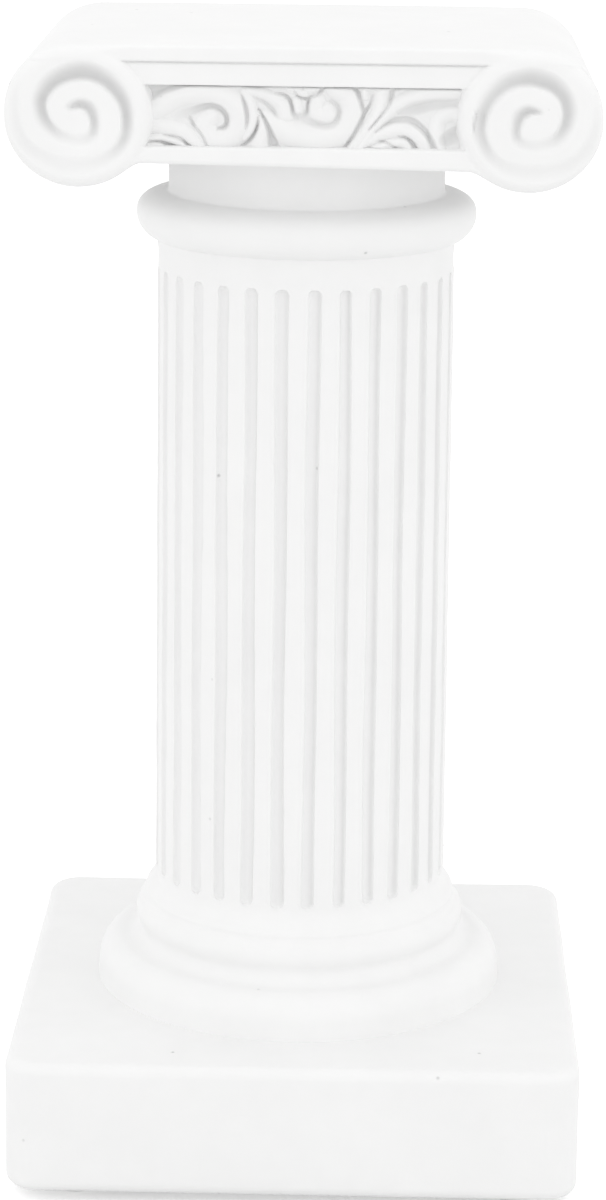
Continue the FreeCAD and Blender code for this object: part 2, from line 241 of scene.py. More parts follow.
def smooth_path(points: tuple, per_span: int = 10) -> np.ndarray:
    """A smooth curve through control points, with what they carry.

    Each span is the Catmull-Rom cubic of its two ends and their outer neighbours, and a missing
    neighbour is the mirror of the inner one.

    Args:
        points: Rows of any length, such as x, z, width and depth.
        per_span: Samples in each span.

    Returns:
        The sampled rows.
    """
    rows = np.asarray(points, float)
    ends = np.vstack([2 * rows[0] - rows[1], rows, 2 * rows[-1] - rows[-2]])
    t = np.linspace(0, 1, per_span, endpoint=False)[None, :, None]
    a, b, c, d = (ends[k:len(ends) - 3 + k, None] for k in range(4))
    cubic = 3 * b - a - 3 * c + d
    curve = 0.5 * (2 * b + (c - a) * t + (2 * a - 5 * b + 4 * c - d) * t**2 + cubic * t**3)
    return np.vstack([curve.reshape(-1, rows.shape[1]), rows[-1:]])


@dataclass(frozen=True)
class Stroke:
    """One stroke of the carver's tool, or one raised roll.

    Attributes:
        points: Control points of x, z, half width and height along its middle.
        lean: How far its highest place lies off the middle, as a share of the half width, where it is
            at its highest.
        soft_side: The side of the path, seen along it, that slopes gently.
        sharpness: The bell's power. 2 is a soft bell, and below 1 the sides are steep.
    """

    points: tuple
    lean: float = 0.0
    soft_side: Hand = Hand.LEFT
    sharpness: float = 2.0

    def height(self, x: np.ndarray, z: np.ndarray) -> np.ndarray:
        """The stroke's height at each place, from its nearest point on the path.

        The distance over the half width there, signed by its side, is measured from the highest
        place and stretched to 1 at either edge. With that share q, the height is the height
        there times (1 - q^2)^sharpness.

        Args:
            x: Places across.
            z: Places up.

        Returns:
            Heights of the same shape, 0 outside the stroke.
        """
        path = smooth_path(self.points)
        reach = path[:, 2].max()
        low, high = path[:, :2].min(axis=0) - reach, path[:, :2].max(axis=0) + reach
        result = np.zeros(x.shape)
        near = (x > low[0]) & (x < high[0]) & (z > low[1]) & (z < high[1])
        if not near.any():
            return result
        places = np.stack([x[near], z[near]], axis=-1)[:, None]
        start, span = path[None, :-1], (path[1:] - path[:-1])[None]
        squares = (span[..., :2] ** 2).sum(axis=-1)
        along = np.clip(((places - start[..., :2]) * span[..., :2]).sum(axis=-1) / squares, 0, 1)
        offset = places - start[..., :2] - along[..., None] * span[..., :2]
        cross = span[..., 0] * offset[..., 1] - span[..., 1] * offset[..., 0]
        side = np.where(cross >= 0, -self.soft_side.value, self.soft_side.value)
        share = side * np.linalg.norm(offset, axis=-1) / (start[..., 2] + along * span[..., 2])
        height = start[..., 3] + along * span[..., 3]
        nearest = np.abs(share).argmin(axis=1)[:, None]
        share = np.take_along_axis(share, nearest, axis=1)[:, 0]
        height = np.take_along_axis(height, nearest, axis=1)[:, 0]
        lean = self.lean * height / path[:, 3].max()
        from_top = share + lean
        stretched = from_top / np.where(from_top > 0, 1 + lean, 1 - lean)
        result[near] = np.clip(1 - stretched**2, 0, 1) ** self.sharpness * height
        return result


def strokes(sharpness: float, *paths: tuple) -> tuple[Stroke, ...]:
    """One upright stroke of a given sharpness for each path."""
    return tuple(Stroke(path, sharpness=sharpness) for path in paths)


def highest(table: tuple[Stroke, ...], x: np.ndarray, z: np.ndarray) -> np.ndarray:
    """The greatest height that any stroke of a table has at each place."""
    heights = [stroke.height(x, z) for stroke in table]
    return np.max(heights, axis=0)


# ================================================================ meshes and the frame
@dataclass(frozen=True)
class CadBox:
    """The lowest and highest corner of one CAD node."""

    low: np.ndarray
    high: np.ndarray

    @classmethod
    def of(cls, node: str) -> "CadBox":
        """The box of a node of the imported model, in millimetres."""
        low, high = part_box(node)
        return cls(np.array(low) / MM, np.array(high) / MM)

    @property
    def centre(self) -> np.ndarray:
        """The box's middle."""
        return (self.low + self.high) / 2

    @property
    def size(self) -> np.ndarray:
        """The box's three sides."""
        return self.high - self.low


def make_piece(name: str, grid: np.ndarray, recess: np.ndarray | None = None,
               ring: bool = False) -> bpy.types.Object:
    """Skins a grid of points with smooth four-sided faces that point outwards.

    The second parameter always closes on itself. The first one does so in a ring, and otherwise its
    first and last rows are poles, whose points are welded. The volume's sign tells which way
    the faces point.

    Args:
        name: The piece's name.
        grid: Points by first and second parameter.
        recess: How much each point is darkened in its hollows, from 0 to 1; on the castings this is painted
            shade.
        ring: Whether the first parameter closes on itself too.

    Returns:
        The new object, at the origin.
    """
    rows, columns = grid.shape[:2]
    index = np.arange(rows * columns).reshape(rows, columns)
    here = index if ring else index[:-1]
    above = np.roll(index, -1, axis=0) if ring else index[1:]
    beside = [np.roll(line, -1, axis=1) for line in (here, above)]
    quads = np.stack([here, *beside, above], axis=-1).reshape(-1, 4)
    points = grid.reshape(-1, 3) * MM
    corners = points[quads]
    halves = [np.cross(corners[:, k], corners[:, k + 1]) for k in (1, 2)]
    volume = sum((corners[:, 0] * half).sum() for half in halves)
    if volume < 0:
        quads = quads[:, ::-1]
    mesh = bpy.data.meshes.new(name)
    mesh.vertices.add(len(points))
    mesh.vertices.foreach_set("co", points.ravel())
    mesh.loops.add(quads.size)
    mesh.loops.foreach_set("vertex_index", np.ascontiguousarray(quads).ravel())
    mesh.polygons.add(len(quads))
    mesh.polygons.foreach_set("loop_start", np.arange(0, quads.size, 4))
    mesh.update(calc_edges=True)
    # The recess attribute darkens the finish's colour in hollows: painted shade on the castings.
    layer = mesh.attributes.new("recess", "FLOAT", "POINT")
    values = np.zeros(len(points)) if recess is None else np.clip(recess, 0, 1).ravel()
    layer.data.foreach_set("value", values)
    weld(mesh)
    piece = bpy.data.objects.new(name, mesh)
    bpy.context.scene.collection.objects.link(piece)
    return piece


def weld(mesh: bpy.types.Mesh) -> None:
    """Joins points that lie on each other, as at a pole, and shades all but steep edges smooth.

    Args:
        mesh: The mesh, which is changed.
    """
    shell = bmesh.new()
    shell.from_mesh(mesh)
    bmesh.ops.remove_doubles(shell, verts=shell.verts, dist=WELD_DISTANCE)
    shell.to_mesh(mesh)
    shell.free()
    mesh.polygons.foreach_set("use_smooth", np.ones(len(mesh.polygons), bool))
    mesh.set_sharp_from_angle(angle=SHARP_ANGLE)


def hand_over(piece: bpy.types.Object, node: str, material: Material) -> None:
    """Puts a finished piece in its CAD node's place.

    Args:
        piece: The piece.
        node: The CAD node that it stands for.
        material: The finish.
    """
    piece.data.materials.append(material)
    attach(piece, BODY)
    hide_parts(node)
    log.info("%s stands for %s with %d faces", piece.name, node, len(piece.data.polygons))


# ================================================================ finishes
class Board:
    """Lays out nodes in one tree and wires them."""

    def __init__(self, tree: bpy.types.NodeTree) -> None:
        """Starts on a material's or a group's tree."""
        self.tree = tree

    def add(self, kind: str, inputs: dict | None = None, **settings: object) -> bpy.types.Node:
        """Adds a node.

        Args:
            kind: The node's type.
            inputs: Values or other nodes' outputs, by input name or number.
            settings: The node's own properties.

        Returns:
            The node.
        """
        node = self.tree.nodes.new(kind)
        for key, value in settings.items():
            setattr(node, key, value)
        for key, value in (inputs or {}).items():
            if isinstance(value, Socket):
                self.tree.links.new(value, node.inputs[key])
            else:
                node.inputs[key].default_value = value
        return node

    def math(self, operation: str, *values: Socket | float) -> Socket:
        """The result of one sum on values or outputs."""
        return self.add("ShaderNodeMath", dict(enumerate(values)), operation=operation).outputs[0]

    def mix(self, share: Socket | float, first: Socket | tuple, second: Socket | tuple) -> Socket:
        """A colour between two others, of which the share is the second's."""
        node = self.add("ShaderNodeMix", {0: share, 6: first, 7: second}, data_type="RGBA")
        return node.outputs[2]

    def scaled(self, value: Socket, low: float, high: float, new_low: float, new_high: float) -> Socket:
        """A value carried from one range to another, and kept inside it."""
        inputs = {1: low, 2: high, 3: new_low, 4: new_high, 0: value}
        return self.add("ShaderNodeMapRange", inputs).outputs[0]

    def effect(self, group: bpy.types.NodeTree, **values: float) -> Socket:
        """Places a shared effect with its own values.

        Args:
            group: The effect.
            values: Its values, by input names in lower case.

        Returns:
            Its output.
        """
        node = self.add("ShaderNodeGroup", node_tree=group)
        for key, value in values.items():
            node.inputs[key.capitalize()].default_value = value
        return node.outputs[0]

    def place(self) -> Socket:
        """Where each point lies on the object."""
        return self.add("ShaderNodeTexCoord").outputs["Object"]

    def noise(self, scale: Socket, detail: float, **others: float) -> Socket:
        """Noise that lies still on the object, with other values of its node by name."""
        inputs = {"Vector": self.place(), "Scale": scale, "Detail": detail, **others}
        return self.add("ShaderNodeTexNoise", inputs).outputs[0]

    def per_metre(self, length: Socket) -> Socket:
        """How often a length in millimetres goes into a metre, as textures take their scale."""
        return self.math("DIVIDE", 1 / MM, length)


def start_group(name: str, numbers: dict[str, float], output: str) -> tuple[Board, Socket, dict[str, Socket]]:
    """Starts a shader node group with number inputs and one number output.

    Args:
        name: The group's name.
        numbers: Its inputs with their usual values.
        output: Its output's name.

    Returns:
        The board to lay it out on, the socket that its result goes to, and its inputs by name.
    """
    tree = bpy.data.node_groups.new(name, "ShaderNodeTree")
    for key, value in numbers.items():
        socket = tree.interface.new_socket(key, in_out="INPUT", socket_type="NodeSocketFloat")
        socket.default_value = value
    tree.interface.new_socket(output, in_out="OUTPUT", socket_type="NodeSocketFloat")
    board = Board(tree)
    entry = board.add("NodeGroupInput")
    leave = board.add("NodeGroupOutput")
    return board, leave.inputs[0], {key: entry.outputs[key] for key in numbers}


class Effects:
    """The effects that several finishes share, each a node group that is built once."""

    def __init__(self) -> None:
        """Builds every group."""
        self.tone = self._tone()
        self.grain = self._grain()
        self.pinholes = self._pinholes()
        self.dust_and_shade = self._dust_and_shade()
        self.lathe_marks = self._lathe_marks()

    @staticmethod
    def _tone() -> bpy.types.NodeTree:
        """Slow patches of lighter and darker tone: two noises, one about a quarter of the other's size.

        Returns:
            The group.
        """
        board, result, numbers = start_group("slow_tone", {"Patch": 20.0}, "Tone")
        scale = board.per_metre(numbers["Patch"])
        finer, broad_share, small_share = 4.3, 0.6, 0.4
        broad = board.math("MULTIPLY", board.noise(scale, 2.0), broad_share)
        small = board.noise(board.math("MULTIPLY", scale, finer), 3.0)
        summed = board.math("MULTIPLY_ADD", small, small_share, broad)
        board.tree.links.new(board.scaled(summed, 0.3, 0.7, 0.0, 1.0), result)
        return board.tree

    @staticmethod
    def _grain() -> bpy.types.NodeTree:
        """A fine even roughness: noise with several octaves.

        Returns:
            The group.
        """
        board, result, numbers = start_group("fine_grain", {"Grain": 0.6}, "Height")
        noise = board.noise(board.per_metre(numbers["Grain"]), 4.0, Roughness=0.55)
        board.tree.links.new(noise, result)
        return board.tree

    @staticmethod
    def _pinholes() -> bpy.types.NodeTree:
        """Sparse round pits that air bubbles leave: in a few cells of a cell pattern, near its middle.

        Returns:
            The group.
        """
        inputs = {"Spacing": 7.0, "Size": 0.35, "Share": 0.2}
        board, result, numbers = start_group("pinholes", inputs, "Pit")
        inputs = {"Vector": board.place(), "Scale": board.per_metre(numbers["Spacing"])}
        cells = board.add("ShaderNodeTexVoronoi", inputs, feature="F1")
        chance = board.add("ShaderNodeSeparateColor", {0: cells.outputs["Color"]}).outputs[0]
        radius = board.math("DIVIDE", numbers["Size"], numbers["Spacing"])
        edge = board.math("SUBTRACT", radius, cells.outputs["Distance"])
        round_pit = board.add("ShaderNodeClamp", {0: board.math("DIVIDE", edge, radius)}).outputs[0]
        chosen = board.math("LESS_THAN", chance, numbers["Share"])
        board.tree.links.new(board.math("MULTIPLY", round_pit, chosen), result)
        return board.tree

    @staticmethod
    def _dust_and_shade() -> bpy.types.NodeTree:
        """Painted shade and dust in hollows: the piece's own recess attribute, broken up by noise.

        Returns:
            The group.
        """
        board, result, numbers = start_group("recess_dust_and_shade", {"Patchiness": 0.25, "Patch": 4.0}, "Shade_and_dust")
        recess = board.add("ShaderNodeAttribute", attribute_name="recess").outputs["Fac"]
        noise = board.noise(board.per_metre(numbers["Patch"]), 3.0)
        kept = board.math("SUBTRACT", 1.0, board.math("MULTIPLY", noise, numbers["Patchiness"]))
        board.tree.links.new(board.math("MULTIPLY", recess, kept), result)
        return board.tree

    @staticmethod
    def _lathe_marks() -> bpy.types.NodeTree:
        """Fine rings round the origin, much like a cutting tool's: a wave of the distance from it.

        Returns:
            The group.
        """
        board, result, numbers = start_group("lathe_marks", {"Pitch": 0.2}, "Height")
        own_wave = 0.314  # the length of the texture's own waves
        scale = board.math("MULTIPLY", board.per_metre(numbers["Pitch"]), own_wave)
        inputs = {"Vector": board.place(), "Scale": scale, "Distortion": 0.6, "Detail": 2.0}
        wave = board.add("ShaderNodeTexWave", inputs, wave_type="RINGS", rings_direction="SPHERICAL")
        board.tree.links.new(wave.outputs["Fac"], result)
        return board.tree


def tinted(color: Color, strength: float) -> tuple[float, float, float, float]:
    """A colour made darker or lighter by one factor, as nodes take it."""
    return (*(min(1.0, channel * strength) for channel in color), 1.0)


@dataclass(frozen=True)
class Coat:
    """What a finish's skin is laid on.

    Attributes:
        board: The material's board.
        effects: The shared effects.
        color: The colour so far.
        tone: The slow patches.
        dust_and_shade: The painted shade and dust of the hollows.
    """

    board: Board
    effects: Effects
    color: Socket
    tone: Socket
    dust_and_shade: Socket


Skin = tuple[Socket, Socket, Socket]  # colour, roughness, and the height of the fine relief


@dataclass(frozen=True)
class Finish:
    """What every finish has.

    Attributes:
        slot: The record's slot.
        color: The colour by which the slot is known, as linear light.
        roughness: The middle of its roughness.
        metallic: How metallic it is.
        patch: Size of its patches of tone, in millimetres.
        tones: The darkest and the lightest tone, as factors of the colour.
        patchiness: How much the painted shade and dust are broken up.
        dust_and_shade_patch: How coarsely, in millimetres.
        hollow_shade: How dark the painted shade and dust make the colour.
        relief: How high the fine relief is, in millimetres.
    """

    slot: Slot
    color: Color
    roughness: float
    metallic: float
    patch: float
    tones: tuple[float, float]
    patchiness: float
    dust_and_shade_patch: float
    hollow_shade: float
    relief: float

    def build(self, effects: Effects) -> Material:
        """Makes the finish's material.

        The colour goes from the darkest to the lightest tone with the slow patches, and the painted
        shade and dust of the hollows darken it. Each finish gives the rest.

        Args:
            effects: The shared effects.

        Returns:
            The material.
        """
        material = bpy.data.materials.new(self.slot.value + "_finish")
        material.use_nodes = True
        board = Board(material.node_tree)
        shader = next(node for node in material.node_tree.nodes if node.type == "BSDF_PRINCIPLED")
        shader.inputs["Metallic"].default_value = self.metallic
        tone = board.effect(effects.tone, patch=self.patch)
        dust_and_shade = board.effect(effects.dust_and_shade, patchiness=self.patchiness, patch=self.dust_and_shade_patch)
        color = board.mix(tone, *(tinted(self.color, factor) for factor in self.tones))
        # Painted shade: the hollows' colour is darkened towards hollow_shade, with some dust.
        color = board.mix(dust_and_shade, color, tinted(self.color, self.hollow_shade))
        color, roughness, height = self.skin(Coat(board, effects, color, tone, dust_and_shade))
        inputs = {"Height": height, "Strength": 1.0, "Distance": self.relief * MM}
        bump = board.add("ShaderNodeBump", inputs)
        board.tree.links.new(color, shader.inputs["Base Color"])
        board.tree.links.new(roughness, shader.inputs["Roughness"])
        board.tree.links.new(bump.outputs[0], shader.inputs["Normal"])
        return material

    def skin(self, coat: Coat) -> Skin:
        """The colour, the roughness and the relief's height, about 0 to 1. Each finish gives its own."""
        raise NotImplementedError


@dataclass(frozen=True)
class WhiteCasting(Finish):
    """Matte white cast resin: faint patches, a fine skin, a few pinholes, and painted shade in its hollows.

    Attributes:
        grain: Size of its grain, in millimetres.
        pit_spacing: Size of the cells that may hold a pinhole.
        pit_size: A pinhole's radius.
        pit_share: The share of cells that hold one.
        pit_shade: How dark the painted shade in a pinhole is.
    """

    slot: Slot = Slot.WHITE_CASTING
    color: Color = (0.868, 0.868, 0.866)
    roughness: float = 0.62
    metallic: float = 0.0
    patch: float = 19.0
    tones: tuple[float, float] = (0.984, 1.016)
    patchiness: float = 0.3
    dust_and_shade_patch: float = 3.0
    hollow_shade: float = 0.5
    relief: float = 0.05
    grain: float = 0.9
    pit_spacing: float = 8.0
    pit_size: float = 0.42
    pit_share: float = 0.4
    pit_shade: float = 0.6

    def skin(self, coat: Coat) -> Skin:
        """Pinholes with painted shade, which are sunk in a relief of the patches and the grain.

        Args:
            coat: What it is laid on.

        Returns:
            The colour, the roughness and the height.
        """
        board, groups = coat.board, coat.effects
        sizes = {"spacing": self.pit_spacing, "size": self.pit_size, "share": self.pit_share}
        pit = board.effect(groups.pinholes, **sizes)
        grain = board.effect(groups.grain, grain=self.grain)
        # Painted shade in the pinholes.
        color = board.mix(pit, coat.color, tinted(self.color, self.pit_shade))
        roughness = board.scaled(coat.tone, 0.0, 1.0, self.roughness - 0.05, self.roughness + 0.05)
        tone_height, grain_height, pit_height = 0.5, 0.35, -2.5
        fine = board.math("MULTIPLY", grain, grain_height)
        plain = board.math("MULTIPLY_ADD", coat.tone, tone_height, fine)
        return color, roughness, board.math("MULTIPLY_ADD", pit, pit_height, plain)


@dataclass(frozen=True)
class ZincSteel(Finish):
    """Bright zinc on steel, with the lines of its cutting and darker colour in the thread's roots."""

    slot: Slot = Slot.ZINC_STEEL
    color: Color = (0.68, 0.69, 0.7)
    roughness: float = 0.34
    metallic: float = 1.0
    patch: float = 3.0
    tones: tuple[float, float] = (0.93, 1.05)
    patchiness: float = 0.4
    dust_and_shade_patch: float = 1.0
    hollow_shade: float = 0.42
    relief: float = 0.01

    def skin(self, coat: Coat) -> Skin:
        """Roughness that grows with tone and with the darkening of the thread's roots, and fine rings.

        Args:
            coat: What it is laid on.

        Returns:
            The colour, the roughness and the height.
        """
        board = coat.board
        marks = board.effect(coat.effects.lathe_marks, pitch=0.22)
        from_dust_and_shade, from_tone = 0.25, 0.16
        worn = board.math("MULTIPLY_ADD", coat.dust_and_shade, from_dust_and_shade, board.math("MULTIPLY", coat.tone, from_tone))
        return coat.color, board.math("ADD", worn, self.roughness - from_tone / 2), marks


@dataclass(frozen=True)
class InsertBrass(Finish):
    """Plain brass, a little tarnished in its knurls."""

    slot: Slot = Slot.INSERT_BRASS
    color: Color = (0.78, 0.6, 0.3)
    roughness: float = 0.36
    metallic: float = 1.0
    patch: float = 2.5
    tones: tuple[float, float] = (0.9, 1.06)
    patchiness: float = 0.3
    dust_and_shade_patch: float = 1.0
    hollow_shade: float = 0.5
    relief: float = 0.008

    def skin(self, coat: Coat) -> Skin:
        """Roughness that follows the tone, and a fine grain.

        Args:
            coat: What it is laid on.

        Returns:
            The colour, the roughness and the height.
        """
        board = coat.board
        roughness = board.scaled(coat.tone, 0.0, 1.0, self.roughness - 0.06, self.roughness + 0.1)
        return coat.color, roughness, board.effect(coat.effects.grain, grain=0.25)


@dataclass(frozen=True)
class PadRubber(Finish):
    """Milky soft rubber with a fine grain and a darker colour at the rim of its film."""

    slot: Slot = Slot.PAD_RUBBER
    color: Color = (0.62, 0.62, 0.6)
    roughness: float = 0.5
    metallic: float = 0.0
    patch: float = 5.0
    tones: tuple[float, float] = (0.95, 1.04)
    patchiness: float = 0.5
    dust_and_shade_patch: float = 1.5
    hollow_shade: float = 0.7
    relief: float = 0.02

    def skin(self, coat: Coat) -> Skin:
        """Roughness and height that follow the grain.

        Args:
            coat: What it is laid on.

        Returns:
            The colour, the roughness and the height.
        """
        grain = coat.board.effect(coat.effects.grain, grain=0.3)
        roughness = coat.board.scaled(grain, 0.3, 0.7, self.roughness - 0.08, self.roughness + 0.08)
        return coat.color, roughness, grain


# ================================================================ plinth
@dataclass
class Plinth:
    """The square block under the column.

    Attributes:
        corner: Radius of its upright corners.
        top_edge: Radius of its soft top edge.
        bottom_edge: Radius of its bottom edge.
        counterbore: Radius of the hole for washer and nut.
        counterbore_depth: How deep that hole is.
        chamfer: Width of that hole's chamfered mouth.
        bore: Radius of the rod's hole.
        seat: Radius of the true place on top that the column stands on.
        wear: The most that a side or the rest of the top lies inside its true plane.
    """

    corner: float = 6.0
    top_edge: float = 2.1
    bottom_edge: float = 2.2
    counterbore: float = 9.5
    counterbore_depth: float = 12.0
    chamfer: float = 0.4
    bore: float = 3.5
    seat: float = 38.0
    wear: float = 0.16

    def outline(self, half: np.ndarray, in_corner: int, on_side: int) -> tuple[np.ndarray, np.ndarray]:
        """A rounded rectangle and the way that each of its points faces.

        Each corner is a quarter circle, and along a side the circle's middle slides to the next corner.

        Args:
            half: Half the width and half the depth.
            in_corner: Points in each corner.
            on_side: Points along each side.

        Returns:
            The points, and a unit arrow outwards at each.
        """
        signs = np.array([[1, 1], [-1, 1], [-1, -1], [1, -1]])
        middles = signs * (half - self.corner)
        points, arrows = [], []
        slide = np.linspace(0, 1, on_side + 2)[1:-1, None]
        for quarter in range(4):
            angles = math.pi / 2 * (quarter + np.linspace(0, 1, in_corner))
            arc = np.stack([np.cos(angles), np.sin(angles)], axis=-1)
            following = middles[(quarter + 1) % 4]
            points.append(middles[quarter] + self.corner * arc)
            points.append(middles[quarter] + slide * (following - middles[quarter]) + self.corner * arc[-1])
            arrows.extend([arc, np.repeat(arc[-1:], on_side, axis=0)])
        return np.vstack(points), np.vstack(arrows)

    def rings(self, foot: float, top: float) -> np.ndarray:
        """The rings from the rod's hole over the top, down the sides and back in underneath.

        Args:
            foot: Height of the underside.
            top: Height of the top.

        Returns:
            One row per ring: how round it is, how far inside the outline, its radius as a circle, its
            height, and how much of the wear acts sideways and downwards.
        """
        def section(count: int, **ends: tuple[float, float]) -> np.ndarray:
            """Rings that go evenly from one set of values to another. What isn't named is 0."""
            keys = ("circle", "inset", "radius", "height", "sideways", "downwards")
            return np.stack([np.linspace(*ends.get(key, (0.0, 0.0)), count) for key in keys], axis=-1)

        sines, cosines = quarter_arc(11)
        nothing = np.zeros_like(sines)
        edge_z = top - self.top_edge * (1 - cosines)
        top_arc = np.stack([nothing, self.top_edge * (1 - sines), nothing, edge_z, sines, cosines], axis=-1)
        foot_z = foot + self.bottom_edge * (1 - sines)
        foot_inset = self.bottom_edge * (1 - cosines)
        foot_arc = np.stack([nothing, foot_inset, nothing, foot_z, cosines, nothing], axis=-1)
        ceiling = foot + self.counterbore_depth
        mouth = self.counterbore + self.chamfer
        return np.vstack([
            section(14, circle=(1, 1), radius=(self.bore, self.seat), height=(top, top)),
            section(18, circle=(1, 0), radius=(self.seat,) * 2, inset=(self.top_edge,) * 2, height=(top, top),
                    downwards=(0, 1))[1:-1],
            top_arc,
            section(30, height=(top - self.top_edge, foot + self.bottom_edge), sideways=(1, 1))[1:-1],
            foot_arc,
            section(16, circle=(0, 1), radius=(mouth, mouth), inset=(self.bottom_edge,) * 2,
                    height=(foot, foot))[1:],
            section(3, circle=(1, 1), radius=(mouth, self.counterbore),
                    height=(foot, foot + self.chamfer))[1:],
            section(12, circle=(1, 1), radius=(self.counterbore,) * 2,
                    height=(foot + self.chamfer, ceiling))[1:],
            section(5, circle=(1, 1), radius=(self.counterbore, self.bore), height=(ceiling, ceiling))[1:],
        ])

    def build(self, material: Material) -> None:
        """Makes the block.

        Args:
            material: The casting's finish.
        """
        box = CadBox.of("plinth")
        points, arrows = self.outline(box.size[:2] / 2, 13, 44)
        rings = self.rings(box.low[2], box.high[2])
        circle, inset, radius, height, sideways, downwards = (rings[:, k, None] for k in range(6))
        angles = np.arctan2(points[:, 1], points[:, 0])
        grid = np.zeros((len(rings), len(points), 3))
        for axis, round_way in enumerate((np.cos(angles), np.sin(angles))):
            square = points[:, axis] - inset * arrows[:, axis]
            grid[..., axis] = (1 - circle) * square + circle * radius * round_way
        grid[..., 2] = height
        worn = unevenness(grid, self.wear)
        grid[..., :2] -= arrows * (worn * sideways)[..., None]
        grid[..., 2] -= worn * downwards
        piece = make_piece("plinth_casting", grid, ring=True)
        hand_over(piece, "plinth", material)


# ================================================================ turned castings
@dataclass
class Moulding:
    """A casting of round outline with the rod's hole through it.

    Attributes:
        foot: Height of its seat.
        top: Height of its upper face.
        columns: Steps round.
        bore: Radius of the rod's hole.
        step: Spacing of points along the outline.
        softness: How wide its corners are worn.
        wear: The most that its skin lies inside its true surface.
    """

    foot: float
    top: float
    columns: int = 256
    bore: float = 3.5
    step: float = 0.3
    softness: float = 0.22
    wear: float = 0.1
    node: ClassVar[str] = ""

    def outline(self) -> np.ndarray:
        """The outer outline from foot to top, as points of radius and height. Each moulding gives its own."""
        raise NotImplementedError

    def build(self, material: Material) -> None:
        """Makes the casting.

        Args:
            material: The casting's finish.
        """
        outer = softened(self.outline(), self.step, self.softness)
        outline = np.vstack([[self.bore, self.foot], outer, [self.bore, self.top]])
        outline[:, 1] = np.clip(outline[:, 1], self.foot, self.top)
        grid = turned(outline, self.columns)
        shrink = 1 - unevenness(grid, self.wear) / np.maximum(outline[:, :1], self.bore)
        grid[1:-1, :, :2] *= shrink[1:-1, :, None]
        piece = make_piece(self.node + "_casting", grid, ring=True)
        hand_over(piece, self.node, material)


@dataclass
class BaseMoulding(Moulding):
    """The column's foot: a large half round, a hollow and a smaller half round.

    Attributes:
        lower_radius: Reach of the large half round.
        lower_height: Its height.
        lower_bulge: Height of its widest place.
        lower_width: How far it draws in towards the hollow.
        foot_step: How far its foot spreads.
        hollow_height: Height of the hollow.
        hollow_middle: A place in the hollow, out from its upper end and up from its lower one.
        upper_radius: Reach of the smaller half round.
        upper_foot_step: How far its foot draws in.
        upper_top_step: How far its top draws in, and the upright edge with it.
        collar: Height of the upright edge under the shaft.
    """

    lower_radius: float = 36.7
    lower_height: float = 7.8
    lower_bulge: float = 2.8
    lower_width: float = 4.5
    foot_step: float = 0.25
    hollow_height: float = 2.5
    hollow_middle: tuple[float, float] = (0.875, 0.7)
    upper_radius: float = 29.85
    upper_foot_step: float = 0.75
    upper_top_step: float = 1.58
    collar: float = 0.8
    softness: float = 0.75
    node: ClassVar[str] = "base_moulding"

    def outline(self) -> np.ndarray:
        """The outline from the seat on the plinth to the shaft's seat.

        A short slope leads in from the foot to a quarter of an ellipse, two arcs follow it, and an
        upright edge ends them.

        Returns:
            Points of radius and height.
        """
        foot, top = self.foot, self.top
        waist = foot + self.lower_height
        upper_foot = waist + self.hollow_height
        inner = self.upper_radius - self.upper_foot_step
        shoulder = self.lower_radius - self.lower_width
        hollow = (inner + self.hollow_middle[0], waist + self.hollow_middle[1])
        sines, cosines = quarter_arc(60)
        rise = self.lower_height - self.lower_bulge
        lower = np.stack([shoulder + self.lower_width * cosines, waist - rise + rise * sines], axis=-1)
        neck = self.upper_radius - self.upper_top_step
        end = (neck, top - self.collar)
        return np.vstack([
            [self.lower_radius + self.foot_step, foot],
            lower,
            arc_through((shoulder, waist), hollow, (inner, upper_foot), 30),
            arc_through((inner, upper_foot), (self.upper_radius, (upper_foot + top) / 2), end, 40),
            [neck, top],
        ])


@dataclass
class Collar(Moulding):
    """The half round on top of the shaft, with the root of the neck.

    Attributes:
        radius: Its reach.
        seat_radius: Where its outline starts on the shaft's top.
        roundness: The radius of its lower quarter.
        neck_radius: Radius of the neck's root.
        neck_root: How far below its upper face the neck begins.
        fullness: The power of its upper quarter's oval. 2 is an ellipse.
    """

    radius: float = 29.85
    seat_radius: float = 20.0
    roundness: float = 4.65
    neck_radius: float = 24.2
    neck_root: float = 0.8
    fullness: float = 2.4
    softness: float = 0.45
    node: ClassVar[str] = "collar"

    def outline(self) -> np.ndarray:
        """The outline from the seat to the neck's seat.

        An arc of a circle runs out to the reach, and then the quarter of an oval,
        (neck + width cos^b, middle + rise sin^b) with b of 2 over the fullness, in to the neck's root.

        Returns:
            Points of radius and height.
        """
        foot, top = self.foot, self.top
        rise = (top - foot) / 2
        edge = self.radius - self.roundness + math.sqrt(self.roundness**2 - rise**2)
        between = math.radians(36)  # any angle that lies on the arc
        half_way = (self.radius - self.roundness * (1 - math.cos(between)),
                    foot + rise - self.roundness * math.sin(between))
        sines, cosines = quarter_arc(50)
        width = self.radius - self.neck_radius
        bulge = 2 / self.fullness
        upper = np.stack([self.neck_radius + width * cosines**bulge,
                          foot + rise + (rise - self.neck_root) * sines**bulge], axis=-1)
        return np.vstack([
            [self.seat_radius, foot],
            arc_through((edge, foot), half_way, (self.radius, foot + rise), 40),
            upper,
            [self.neck_radius, top],
        ])


@dataclass
class Neck(Moulding):
    """The plain drum under the capital.

    Attributes:
        radius: The drum's radius.
    """

    radius: float = 24.2
    node: ClassVar[str] = "neck_drum"

    def outline(self) -> np.ndarray:
        """A straight side from the seat to the upper face."""
        return np.array([[self.radius, z] for z in (self.foot, (self.foot + self.top) / 2, self.top)])


